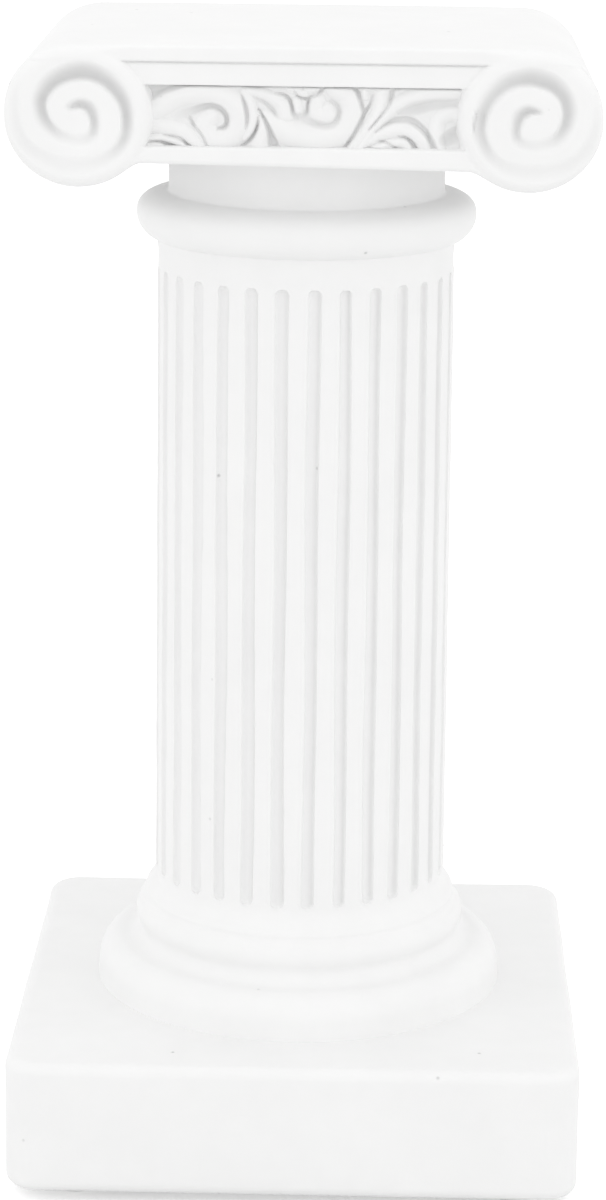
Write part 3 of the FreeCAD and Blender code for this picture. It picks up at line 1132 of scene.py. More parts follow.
@dataclass
class FlutedShaft:
    """The tall drum with its narrow round-ended flutes.

    Attributes:
        foot: Height of its seat.
        top: Height of its upper face.
        foot_radius: Radius above the foot's flare.
        head_radius: Radius under the head's flare.
        foot_flare: How far the foot spreads.
        foot_flare_height: How high the spread starts.
        head_flare: How far the head spreads.
        head_flare_height: How far below the top that starts.
        flutes: How many flutes.
        flute_half_width: Half a flute's width.
        flute_depth: How deep a flute is.
        slant: How much deeper its floor lies at its right edge, and shallower at its left one, as a
            share of its depth.
        lip: How far its edge stands proud at its round ends: half as far again at the left, and half
            as far at the right.
        lip_width: How wide that edge is.
        drift: How far a flute strays sideways.
        drift_wave: Height over which it strays through a sixth of a wave.
        width_change: How much a flute's width changes along it, as a share.
        width_wave: Height over which that goes through a sixth of a wave.
        low_margin: From the foot to the flutes' lower ends.
        high_margin: From the flutes' upper ends to the top.
        turn: Degrees from the front to the nearest flute.
        rows: Rings of points up the shaft.
        per_flute: Columns in each flute's share of the turn.
        dust_and_shade: How much painted shade lies all over a flute's floor.
        painted_shade_right: How much more painted shade lies at its right, standing in for that side's shade.
        core: Radius of the hollow core.
        wear: The most that its skin lies inside its true surface.
    """

    foot: float
    top: float
    foot_radius: float = 26.4
    head_radius: float = 26.0
    foot_flare: float = 1.9
    foot_flare_height: float = 4.9
    head_flare: float = 0.35
    head_flare_height: float = 3.2
    flutes: int = 30
    flute_half_width: float = 1.16
    flute_depth: float = 0.75
    slant: float = 0.25
    lip: float = 0.1
    lip_width: float = 0.25
    drift: float = 0.1
    drift_wave: float = 11.0
    width_change: float = 0.06
    width_wave: float = 17.0
    low_margin: float = 4.9
    high_margin: float = 5.2
    turn: float = 4.5
    rows: int = 146
    per_flute: int = 22
    dust_and_shade: float = 0.06
    painted_shade_right: float = 0.18
    core: float = 9.5
    wear: float = 0.1

    def radius(self, height: np.ndarray) -> np.ndarray:
        """The plain drum's radius: a slow taper, with a hollow flare at each end.

        The head's flare is its reach times the square of the share of its height that is left. The
        foot's runs along the smooth step of that share, to the power 1.6, and so ends upright.

        Args:
            height: The heights to look at.

        Returns:
            The radius at each height.
        """
        rise = height - self.foot
        taper = self.foot_radius + (self.head_radius - self.foot_radius) * rise / (self.top - self.foot)
        at_foot = smooth_step(0, 1, 1 - rise / self.foot_flare_height) ** 1.6
        at_head = np.clip(1 - (self.top - height) / self.head_flare_height, 0, 1) ** 2
        return taper + self.foot_flare * at_foot + self.head_flare * at_head

    def build(self, material: Material) -> None:
        """Makes the drum.

        With q the distance from a flute's middle line over its half width, the cut is the
        depth times (1 - q^4)^0.75, and the distance grows round both ends of the line. Both the line
        and the width stray a little, as sines of the height, and a bell round q = 1 is the lip. The
        floor slants down to the right, and the painted shade on it is darkest there.

        Args:
            material: The casting's finish.
        """
        foot, top = self.foot, self.top
        low = foot + self.low_margin + self.flute_half_width
        high = top - self.high_margin - self.flute_half_width
        round_end = 0.8  # past a flute's straight part, where its end curves most
        levels = [low - round_end, high + round_end, foot, top]
        rise = spread(foot, top, self.rows, levels, reach=1.6, strength=16.0)
        sector = FULL_TURN / self.flutes
        half_sector = sector * self.foot_radius / 2
        edge = 1.1  # across to where a flute curves most
        count = self.per_flute + 1
        across = spread(-half_sector, half_sector, count, [-edge, edge], reach=0.35, strength=2.5)[:-1]
        middles = math.radians(self.turn - 90) + sector * np.arange(self.flutes)
        angles = (middles[:, None] + across / self.foot_radius).ravel()
        number = np.repeat(np.arange(self.flutes), len(across))
        stray = self.drift * np.sin(rise[:, None] / self.drift_wave + 2.3 * number)
        swell = self.width_change * np.sin(rise[:, None] / self.width_wave + 1.7 * number)
        half_width = self.flute_half_width * (1 + swell)
        away = np.tile(across, self.flutes) - stray
        radius = self.radius(rise)[:, None]
        past = np.maximum(np.maximum(low - rise, rise - high), 0)[:, None]
        distance = np.hypot(away, past)
        share = np.clip(distance / half_width, 0, 1)
        rightwards = np.clip(away / half_width, -1, 1)
        lip = self.lip * (1 - 0.5 * rightwards) * np.exp(-(((distance - half_width) / self.lip_width) ** 2))
        floor = (1 - share**4) ** 0.75 * (1 + self.slant * rightwards)
        skin = radius - self.flute_depth * floor + lip
        core = np.full_like(angles, self.core)
        height = np.concatenate([[foot], rise, [top]])[:, None]
        grid = ring_grid(np.vstack([core, skin, core]), angles, height)
        worn = unevenness(grid, self.wear)[1:-1] / radius
        grid[1:-1, :, :2] *= 1 - worn[..., None]
        dust_and_shade = np.zeros(grid.shape[:2])
        # Painted shade over the flute floors, darkest at each flute's right.
        dust_and_shade[1:-1] = floor * (self.dust_and_shade + self.painted_shade_right * smooth_step(0.1, 0.8, rightwards))
        piece = make_piece("fluted_shaft_casting", grid, dust_and_shade, ring=True)
        hand_over(piece, "fluted_shaft", material)


# ================================================================ capital
# The coiled groove of each scroll, from its inner to its outer end: x and z from the scroll's middle,
# half width and depth.
LEFT_COIL = Stroke((
    (-1.6, 1.3, 0.35, 0.1), (-0.8, 1.7, 0.7, 0.9), (0.5, 2.1, 0.97, 1.2), (1.9, 1.7, 1.1, 1.2),
    (2.7, 0.5, 1.06, 1.15), (3.0, -1.3, 0.97, 1.0), (2.7, -3.0, 1.06, 0.75), (1.6, -3.9, 1.14, 0.4),
    (-0.5, -4.0, 1.14, 0.3), (-2.8, -3.2, 1.14, 0.55), (-4.5, -1.9, 1.14, 0.95), (-5.6, -0.3, 1.23, 1.15),
    (-6.1, 1.6, 1.28, 1.25), (-5.8, 3.4, 1.36, 1.25), (-4.6, 5.2, 1.5, 1.3), (-2.7, 6.6, 1.58, 1.35),
    (-0.3, 7.4, 1.72, 1.4), (2.0, 7.4, 1.72, 1.4), (4.6, 6.4, 1.58, 1.35), (6.6, 4.5, 1.45, 1.3),
    (7.9, 2.4, 1.32, 1.25), (8.4, -0.1, 1.19, 1.2), (8.2, -2.8, 1.14, 1.0), (7.3, -4.9, 1.14, 0.8),
    (5.8, -6.4, 1.23, 0.5), (3.9, -7.5, 1.41, 0.32), (1.0, -8.2, 1.58, 0.25), (-2.8, -8.1, 1.67, 0.25),
    (-5.6, -7.0, 1.58, 0.3), (-7.9, -5.5, 1.41, 0.35), (-9.3, -3.6, 1.32, 0.35), (-10.1, -0.9, 1.23, 0.3),
    (-10.3, 1.7, 1.14, 0.25), (-10.1, 3.7, 1.06, 0.2), (-9.5, 5.6, 0.7, 0.05),
), lean=0.45, soft_side=Hand.LEFT, sharpness=1.5)
RIGHT_COIL = Stroke((
    (2.0, 1.6, 0.35, 0.1), (1.2, 1.8, 0.62, 0.8), (-0.2, 2.0, 0.92, 1.2), (-1.6, 1.2, 1.06, 1.15),
    (-2.2, -0.4, 1.01, 1.0), (-2.2, -2.4, 0.97, 0.85), (-1.2, -3.6, 1.06, 0.45), (0.9, -4.0, 1.14, 0.3),
    (3.3, -3.5, 1.14, 0.45), (5.0, -2.3, 1.14, 0.85), (6.1, -0.3, 1.23, 1.15), (6.4, 1.8, 1.36, 1.25),
    (5.8, 4.1, 1.45, 1.3), (4.3, 5.9, 1.58, 1.35), (2.2, 7.0, 1.72, 1.4), (-0.3, 7.4, 1.67, 1.35),
    (-3.0, 6.9, 1.54, 1.25), (-5.0, 5.7, 1.41, 1.1), (-6.6, 4.0, 1.32, 1.0), (-7.6, 2.2, 1.23, 1.05),
    (-8.1, 0.2, 1.14, 1.15), (-8.1, -2.1, 1.14, 1.0), (-7.3, -4.3, 1.19, 0.8), (-6.0, -6.2, 1.23, 0.5),
    (-3.6, -7.8, 1.5, 0.35), (0.3, -8.5, 1.67, 0.28), (4.6, -8.0, 1.58, 0.3), (7.6, -6.5, 1.41, 0.35),
    (9.6, -4.4, 1.32, 0.38), (10.6, -1.9, 1.23, 0.35), (10.9, 0.8, 1.06, 0.28), (10.7, 3.8, 0.7, 0.05),
), lean=0.45, soft_side=Hand.RIGHT, sharpness=1.5)
COIL_DEPTH = 1.3  # of the coils' deep parts
COIL_POWER = 0.8  # below 1, it brings out their faint outer turns
# The doubled edge of the right scroll's groove, on its inner side.
RIGHT_NICK = Stroke((
    (-8.6, 1.9, 0.25, 0.2), (-8.95, 0.7, 0.32, 0.6), (-9.15, -1.1, 0.3, 0.65), (-8.9, -3.4, 0.22, 0.1),
), sharpness=1.0)


@dataclass
class ScrollCapital:
    """The capital: two scrolls that roll from front to back, joined by a banded block with a flat top.

    It is one closed skin. At each place across, an upright loop runs up the front, back over the top,
    down the rear and forward underneath, and the loops end in a line at each scroll's outermost place.

    Attributes:
        scroll_x: From the middle to a scroll's middle.
        scroll_radius_x: A scroll's reach across.
        scroll_radius_z: Its reach up and down.
        rim: Radius of its rim.
        fullness: The power of its upper outline, on the left and on the right. 2 is an ellipse.
        inner_reaches: How far the left and the right scroll's front reach towards the middle.
        setback: How far the block's bands lie behind the scrolls' front.
        top_edge: Radius of the block's top edge.
        first_band: Height of the band under the flat top.
        line_width: Width of the fine groove under it.
        line_depth: Depth of that groove.
        second_band: Height of the band under the groove.
        second_setback: How much further back it lies.
        band_edge: Radius of its lower edge.
        rail: Height of the rail under the relief.
        rail_edge: Radius of the rail's lower edge. The upper one's is 0.6 of it.
        recess: Depth of the place for the relief, from the block's face.
        recess_end: How far from the middle that place ends.
        recess_past_end: Its depth past the end, between the bands and the rail.
        rail_slant: How much higher the rail's foot is at the left scroll, and lower at the right one.
        web: How wide the rail's corner with a scroll is filled.
        line_step: Where the second band gives way to the first, from the fine groove's middle.
        band_step: Where the recess gives way to the second band, from that band's foot.
        rail_step: Where the rail gives way to the recess, from the rail's top.
        join: From a scroll's middle to where the first band starts to rise to it.
        crease: Width of the rounded crease between scroll and block.
        fall: How steeply a scroll's end falls away outside its outline.
        coil_painted_shade: How much painted shade lies in the deepest part of a coiled groove.
        line_painted_shade: How much lies in the fine groove.
        line_end: How far from the middle that starts to fade, and is gone.
        wear: The most that its skin lies inside its true surface.
    """

    scroll_x: float = 37.2
    scroll_radius_x: float = 12.15
    scroll_radius_z: float = 11.8
    rim: float = 2.1
    fullness: tuple[float, float] = (2.18, 2.1)
    inner_reaches: tuple[float, float] = (12.4, 11.8)
    setback: float = 0.8
    top_edge: float = 0.7
    first_band: float = 2.6
    line_width: float = 0.42
    line_depth: float = 0.34
    second_band: float = 3.6
    second_setback: float = 0.5
    band_edge: float = 0.35
    rail: float = 3.1
    rail_edge: float = 0.9
    recess: float = 2.85
    recess_end: float = 26.3
    recess_past_end: float = 0.75
    rail_slant: float = 0.35
    web: float = 1.8
    line_step: tuple[float, float] = (-0.1, 0.25)
    band_step: tuple[float, float] = (-0.12, 0.05)
    rail_step: tuple[float, float] = (0.1, 0.35)
    join: float = 9.0
    crease: float = 0.35
    fall: float = 3.0
    coil_painted_shade: float = 0.58
    line_painted_shade: float = 0.25
    line_end: tuple[float, float] = (28.0, 29.5)
    wear: float = 0.07

    def __post_init__(self) -> None:
        """Takes the heights and the depth from the CAD nodes."""
        spigot = 3.0  # the part of the neck that stands in the capital
        box = CadBox.of("scroll_capital")
        self.top = box.high[2]
        self.middle_z = self.top - self.scroll_radius_z
        self.seat = CadBox.of("neck_drum").high[2] - spigot
        self.half_depth = box.size[1] / 2
        self.line_z = self.top - self.first_band - self.line_width / 2
        self.band_foot = self.line_z - self.line_width / 2 - self.second_band

    def oval(self, across: np.ndarray, power: np.ndarray | float = 2.0) -> np.ndarray:
        """Half a scroll's height at a distance across from its middle: the oval |u|^p + |v|^p = 1."""
        share = np.clip(np.abs(across) / self.scroll_radius_x, 0, 1)
        return self.scroll_radius_z * (1 - share**power) ** (1 / power)

    def top_line(self, x: np.ndarray) -> np.ndarray:
        """The silhouette's upper line: flat to the scrolls' middles, and then an oval."""
        power = np.where(x < 0, *self.fullness)
        return self.middle_z + self.oval(np.maximum(np.abs(x) - self.scroll_x, 0), power)

    def low_line(self, x: np.ndarray) -> np.ndarray:
        """The silhouette's lower line: the rail's foot, filled softly into the scrolls' lower halves.

        Args:
            x: Places across.

        Returns:
            The line's heights.
        """
        across = np.abs(x) - self.scroll_x
        scroll = self.middle_z - self.oval(across)
        foot = self.seat - self.rail_slant * np.clip(x / self.recess_end, -1, 1)
        inner = soft_min(scroll, foot, self.web)
        return np.where(across < 0, inner, scroll)

    def bands(self, x: np.ndarray, z: np.ndarray) -> np.ndarray:
        """How far forward the block's front lies: rail, recess, second band, fine groove, first band.

        Each gives way to the next along a smooth step, and a bell is the groove. Towards the scrolls'
        tops the first band rises to their level and its edge grows to their rim.

        Args:
            x: Places across.
            z: Places up.

        Returns:
            The distance from the middle plane.
        """
        face = self.half_depth - self.setback
        join = smooth_step(self.scroll_x - self.join, self.scroll_x, np.abs(x))
        above_line, above_foot = z - self.line_z, z - self.band_foot
        above_rail = z - (self.seat + self.rail)
        edge = self.top_edge + (self.rim - self.top_edge) * join
        upper = face + self.setback * join - round_drop(self.top_line(x) - z, edge)
        second = face - self.second_setback
        rail_low = face - round_drop(z - self.low_line(x), self.rail_edge)
        rail = rail_low - round_drop(0.2 - above_rail, 0.6 * self.rail_edge)
        front = second + (upper - second) * smooth_step(*self.line_step, above_line)
        front = front - round_drop(above_foot, self.band_edge) * (above_line < 0)
        closed = smooth_step(self.recess_end - 1.0, self.recess_end, np.abs(x))
        recess = face - self.recess + (self.recess - self.recess_past_end) * closed
        front = recess + (front - recess) * smooth_step(*self.band_step, above_foot)
        behind = smooth_step(*self.rail_step, above_rail)
        front = np.where(above_rail < self.rail_step[1], rail + (recess - rail) * behind, front)
        return front - self.line_depth * np.exp(-((above_line / (0.5 * self.line_width)) ** 2))

    def disc(self, x: np.ndarray, z: np.ndarray, hand: Hand) -> np.ndarray:
        """How far forward one scroll's end lies: a flat disc with a round rim, falling away outside.

        A place's share of the way to the outline is (|u|^p + |v|^p)^(1/p), and one less that share,
        times the mean reach, is how far inside it lies.

        Args:
            x: Places across.
            z: Places up.
            hand: Which scroll.

        Returns:
            The distance from the middle plane.
        """
        side = hand.value
        number = list(Hand).index(hand)
        across = side * x - self.scroll_x
        up = z - self.middle_z
        reach = np.where(across < 0, self.inner_reaches[number], self.scroll_radius_x)
        power = np.where((across > 0) & (up > 0), self.fullness[number], 2.0)
        share = (np.abs(across / reach) ** power + np.abs(up / self.scroll_radius_z) ** power) ** (1 / power)
        inside = (1 - share) * (reach + self.scroll_radius_z) / 2
        return self.half_depth - round_drop(inside, self.rim) + self.fall * np.minimum(inside, 0)

    def front(self, x: np.ndarray, z: np.ndarray) -> tuple[np.ndarray, np.ndarray]:
        """The whole front: the higher of discs and bands, less the coiled grooves.

        The coils' depth over that of their deep parts is taken to a power. Painted shade grows with its
        power 1.5, and lies in the fine groove too.

        Args:
            x: Places across.
            z: Places up.

        Returns:
            The distance from the middle plane, and the painted shade at each place.
        """
        face = self.bands(x, z)
        for hand in Hand:
            face = soft_max(face, self.disc(x, z, hand), self.crease)
        up = z - self.middle_z
        right = x - self.scroll_x
        coil = LEFT_COIL.height(x + self.scroll_x, up) + RIGHT_COIL.height(right, up)
        coil = COIL_DEPTH * (coil / COIL_DEPTH) ** COIL_POWER + RIGHT_NICK.height(right, up)
        # Painted shade: darker colour in the coils' deep parts and in the fine groove.
        line = np.exp(-(((z - self.line_z) / (0.45 * self.line_width)) ** 2))
        line = self.line_painted_shade * line * (1 - smooth_step(*self.line_end, np.abs(x)))
        return face - coil, np.maximum(self.coil_painted_shade * (coil / COIL_DEPTH) ** 1.5, line)

    def columns(self) -> np.ndarray:
        """Places across from one scroll's outermost line to the other's, close where it curves.

        Returns:
            The places in rising order.
        """
        angles = np.linspace(0, math.pi / 2, 58)[1:]
        outer = self.scroll_x + self.scroll_radius_x * np.sin(angles)
        inner_edge = self.scroll_x - self.scroll_radius_x
        crowded = [-inner_edge, inner_edge]
        inner = spread(-self.scroll_x, self.scroll_x, 236, crowded, reach=1.6, strength=1.0)
        return np.concatenate([-outer[::-1], inner, outer])

    def rows(self) -> np.ndarray:
        """Shares of the height from the lower to the upper line, close at the bands' edges.

        Returns:
            The shares in rising order.
        """
        height = self.top - self.seat
        line = height - self.first_band - self.line_width / 2
        band_foot = line - self.second_band
        edges = [0.0, 0.04, self.rail / height, band_foot / height, line / height, 0.96, 1.0]
        return spread(0.0, 1.0, 104, edges, reach=0.015, strength=2.2)

    def build(self, material: Material) -> None:
        """Makes the capital.

        Args:
            material: The casting's finish.
        """
        x = self.columns()[:, None]
        share = self.rows()
        low, top = self.low_line(x), self.top_line(x)
        z = low + share * (top - low)
        width = np.broadcast_to(x, z.shape)
        front_y, front_painted_shade = self.front(width, z)
        rear_y, rear_painted_shade = self.front(-width, z)
        inward = np.linspace(0, 1, 20)[1:-1]
        over_y = -front_y[:, -1:] + inward * (front_y[:, -1:] + rear_y[:, -1:])
        under_y = rear_y[:, :1] - inward * (front_y[:, :1] + rear_y[:, :1])
        y = np.hstack([-front_y, over_y, rear_y[:, ::-1], under_y])
        flat = np.zeros_like(over_y)
        heights = np.hstack([z, flat + top, z[:, ::-1], flat + low])
        # Painted shade of the front and the rear, for the finish.
        recess = np.hstack([front_painted_shade, flat, rear_painted_shade[:, ::-1], flat])
        grid = np.stack([np.broadcast_to(x, y.shape), y, heights], axis=-1)
        worn = unevenness(grid, self.wear)
        grid[..., 1] -= np.sign(y) * worn
        on_top = np.hstack([z * 0, flat + 1, z * 0, flat])
        grid[..., 2] -= worn * on_top
        piece = make_piece("capital_casting", grid, recess)
        hand_over(piece, "scroll_capital", material)


# ================================================================ relief strips
# The rolls that stand proud of the strip's ground: x from the middle, z from the mid height, half
# width and height.
ROLLS = strokes(
    1.0,
    # the left scroll's stem and coil
    ((-27.0, -0.6, 1.6, 0.25), (-24.0, 1.3, 1.8, 0.45), (-20.8, 3.2, 1.9, 0.5), (-17.0, 4.0, 2.0, 0.5),
     (-13.2, 3.4, 2.1, 0.5), (-10.9, 1.0, 2.0, 0.5), (-10.9, -1.8, 1.9, 0.5), (-12.6, -3.8, 1.9, 0.45),
     (-15.0, -3.6, 1.9, 0.45), (-16.3, -1.6, 1.8, 0.45), (-15.2, -0.1, 1.4, 0.4)),
    # the long leaf under it
    ((-26.5, -1.6, 1.2, 0.3), (-22.6, -1.9, 1.4, 0.4), (-19.4, -2.9, 1.4, 0.4), (-17.0, -5.2, 1.2, 0.3)),
    # the two upright leaves beside the coil
    ((-9.6, 4.0, 0.9, 0.3), (-8.5, 1.6, 0.9, 0.4), (-8.4, -1.2, 0.9, 0.4), (-9.6, -3.4, 0.8, 0.3)),
    ((-7.4, 0.4, 0.7, 0.3), (-6.6, -1.8, 1.2, 0.45), (-7.2, -4.8, 1.6, 0.4)),
    # the leaf that runs from them to the right
    ((-9.0, 4.2, 0.8, 0.25), (-6.2, 3.6, 1.0, 0.4), (-3.8, 2.2, 1.3, 0.45), (-3.0, 0.4, 1.4, 0.4)),
    # the middle scroll's great sweep and coil
    ((-6.2, 0.4, 0.9, 0.3), (-4.2, -1.6, 1.8, 0.45), (-1.2, -3.0, 2.2, 0.5), (3.0, -3.4, 2.2, 0.5),
     (6.8, -2.0, 2.1, 0.5), (8.0, 0.8, 1.9, 0.5), (7.4, 3.4, 1.8, 0.5), (5.2, 4.6, 1.5, 0.4)),
    ((2.4, 3.0, 1.2, 0.35), (2.2, 1.2, 1.6, 0.45), (3.6, 0.4, 1.7, 0.5), (3.8, 1.4, 1.3, 0.5)),
    # its buds above
    ((-2.2, 4.8, 0.8, 0.3), (-0.9, 4.4, 0.9, 0.35), (0.2, 3.9, 0.7, 0.25)),
    ((0.6, 4.6, 0.8, 0.3), (2.0, 4.9, 0.8, 0.3)),
    ((-1.2, 2.6, 0.8, 0.3), (-0.8, 1.2, 0.8, 0.35)),
    # the stems that fan out to the right
    ((7.9, -5.4, 0.9, 0.35), (10.4, -1.8, 1.0, 0.4), (12.2, 1.0, 1.1, 0.45), (12.9, 4.4, 1.2, 0.4)),
    ((9.9, 5.2, 0.7, 0.3), (10.1, 3.4, 0.6, 0.3)),
    ((9.2, -5.2, 1.0, 0.35), (11.8, -1.4, 1.1, 0.4), (15.0, 2.0, 1.3, 0.45), (19.4, 4.0, 1.5, 0.45),
     (25.5, 4.8, 1.6, 0.35)),
    # the curled leaf below them
    ((10.6, -3.9, 0.8, 0.3), (13.2, -2.4, 1.2, 0.4), (16.6, -1.8, 1.3, 0.45), (19.2, -3.2, 1.3, 0.4),
     (20.2, -5.4, 1.0, 0.3)),
    ((12.0, -5.0, 0.7, 0.3), (14.2, -4.2, 0.8, 0.35), (16.4, -4.0, 0.9, 0.35), (17.4, -5.2, 0.7, 0.25)),
    # the ring at the right end
    ((22.6, -5.4, 1.0, 0.35), (21.9, -2.6, 1.3, 0.4), (22.4, 0.0, 1.3, 0.42), (24.6, 0.9, 1.3, 0.4),
     (27.0, 0.2, 1.3, 0.35)),
    # the small leaves at the lower left
    ((-26.5, -4.0, 0.8, 0.3), (-23.6, -3.6, 0.7, 0.35), (-20.6, -4.4, 0.6, 0.3), (-19.0, -5.4, 0.5, 0.2)),
    ((-26.5, -5.0, 0.5, 0.2), (-24.2, -4.8, 0.5, 0.3), (-22.4, -5.3, 0.4, 0.2)),
)
# The grooves that the carver's tool leaves between them: x, z, half width and depth.
CUTS = strokes(
    1.3,
    # round the left coil, and its tail
    ((-20.6, 0.0, 1.0, 0.2), (-18.8, 0.6, 0.95, 0.55), (-17.0, 1.3, 0.7, 0.85), (-15.1, 1.7, 0.6, 0.95),
     (-13.5, 1.1, 0.6, 0.95), (-12.6, -0.2, 0.55, 0.95), (-12.8, -1.6, 0.5, 0.85),
     (-14.1, -2.1, 0.35, 0.4)),
    ((-19.0, 0.3, 0.7, 0.4), (-18.6, -0.6, 0.45, 0.6), (-17.8, -1.8, 0.35, 0.65),
     (-16.7, -3.1, 0.3, 0.55), (-15.7, -5.3, 0.3, 0.4)),
    # the upright leaves' grooves
    ((-10.2, 3.6, 0.3, 0.2), (-9.8, 2.4, 0.4, 0.7), (-9.4, 0.8, 0.45, 0.85), (-9.3, -0.6, 0.4, 0.75),
     (-9.5, -1.9, 0.3, 0.3)),
    ((-7.4, 0.2, 0.25, 0.3), (-7.5, -1.2, 0.35, 0.75), (-8.2, -3.0, 0.4, 0.9), (-9.4, -4.3, 0.4, 0.8),
     (-10.5, -5.4, 0.35, 0.5)),
    # the pocket between leaf and sweep
    ((-5.2, -5.2, 0.5, 0.8), (-3.0, -5.4, 0.3, 0.3)),
    # the leaflet over the pocket
    ((-7.6, 2.9, 0.3, 0.2), (-6.3, 2.3, 0.4, 0.4), (-4.9, 0.9, 0.45, 0.45), (-4.2, -0.2, 0.4, 0.15)),
    ((-4.6, 3.9, 0.3, 0.3), (-3.4, 3.7, 0.35, 0.6), (-2.4, 3.0, 0.4, 0.8), (-1.9, 1.7, 0.4, 0.75),
     (-1.7, 0.6, 0.5, 0.6), (-1.0, -0.1, 0.6, 0.45)),
    # the bud's grooves
    ((-1.5, 4.3, 0.25, 0.4), (-0.7, 3.3, 0.3, 0.6), (0.8, 3.0, 0.35, 0.8)),
    ((0.9, 3.1, 0.35, 0.85), (0.7, 2.1, 0.35, 0.8), (0.6, 0.9, 0.45, 0.75), (-0.1, 0.0, 0.6, 0.5)),
    ((0.9, 3.2, 0.3, 0.6), (2.4, 3.9, 0.35, 0.6), (3.3, 4.9, 0.35, 0.6), (4.4, 5.2, 0.3, 0.4)),
    # round the middle coil
    ((-0.6, 0.1, 0.7, 0.4), (1.7, -0.9, 0.8, 0.45), (3.9, -1.3, 0.75, 0.5), (5.3, -0.8, 0.6, 0.55),
     (5.9, 0.7, 0.5, 0.55), (5.5, 2.0, 0.45, 0.5), (4.5, 2.8, 0.4, 0.3)),
    # the crossing stems
    ((7.9, 5.2, 0.4, 0.8), (8.8, 4.3, 0.45, 0.85), (9.4, 2.6, 0.4, 0.8), (9.9, 1.0, 0.4, 0.7)),
    ((14.6, 5.0, 0.5, 0.6), (14.3, 2.9, 0.45, 0.65), (13.4, 1.3, 0.35, 0.6), (12.1, -0.3, 0.3, 0.55),
     (10.8, -1.8, 0.25, 0.35)),
    # inside the curled leaf
    ((12.4, -3.7, 0.25, 0.4), (13.6, -3.9, 0.3, 0.6), (15.4, -4.9, 0.3, 0.5)),
    ((10.2, -4.9, 0.25, 0.3), (12.7, -5.1, 0.3, 0.5)),
    ((15.6, -2.9, 0.25, 0.3), (16.9, -3.1, 0.35, 0.65), (18.0, -4.0, 0.45, 0.85),
     (18.8, -5.3, 0.45, 0.7)),
    # the small leaves at the lower left
    ((-26.0, -4.3, 0.25, 0.4), (-23.6, -4.3, 0.3, 0.6), (-22.0, -4.9, 0.45, 0.8),
     (-20.3, -5.5, 0.35, 0.6)),
    ((-23.0, -3.2, 0.25, 0.3), (-20.4, -3.6, 0.3, 0.5), (-19.1, -4.7, 0.35, 0.7),
     (-17.7, -5.6, 0.3, 0.5)),
    ((-26.0, -5.2, 0.25, 0.35), (-23.6, -5.4, 0.25, 0.3)),
    # the hollow at the upper middle
    ((-11.5, 5.3, 0.3, 0.3), (-8.6, 5.1, 0.5, 0.7), (-5.4, 5.2, 0.4, 0.6), (-3.6, 5.2, 0.3, 0.4)),
) + strokes(
    # the longest of the crossing stems' grooves, and the one over the curled leaf
    1.2,
    ((11.3, 3.7, 0.25, 0.3), (10.9, 2.2, 0.3, 0.6), (10.1, 0.9, 0.4, 0.95), (9.1, -1.2, 0.42, 1.0),
     (7.8, -3.5, 0.38, 0.9), (6.4, -5.4, 0.3, 0.5)),
    ((11.9, -2.2, 0.3, 0.3), (13.6, -0.9, 0.4, 0.5), (15.4, -0.2, 0.6, 0.7), (17.4, -0.2, 0.7, 0.8),
     (19.2, -1.3, 0.7, 0.85), (20.5, -2.7, 0.65, 0.85), (21.4, -4.2, 0.6, 0.85),
     (21.8, -5.4, 0.55, 0.8)),
) + strokes(
    # the pocket between leaf and sweep, and the hollows at the upper left, at the right and in the ring
    1.0,
    ((-7.4, 1.2, 0.25, 0.5), (-6.6, 0.0, 0.35, 0.8), (-5.9, -1.4, 0.45, 0.9), (-5.4, -2.8, 0.65, 0.95),
     (-5.0, -4.2, 0.9, 1.0), (-4.7, -5.4, 1.1, 0.95)),
    ((-26.0, 3.4, 1.4, 0.7), (-23.6, 4.6, 1.3, 0.9), (-20.8, 5.1, 0.8, 0.7), (-18.5, 5.3, 0.4, 0.3)),
    ((15.2, 5.2, 0.7, 0.7), (17.0, 5.3, 0.4, 0.5)),
    ((15.8, 0.9, 0.7, 0.35), (18.4, 1.7, 1.2, 0.65), (21.6, 2.4, 1.0, 0.6), (25.0, 2.6, 0.8, 0.4)),
    ((23.6, -3.4, 1.3, 0.7), (25.4, -2.4, 1.5, 0.75)),
)


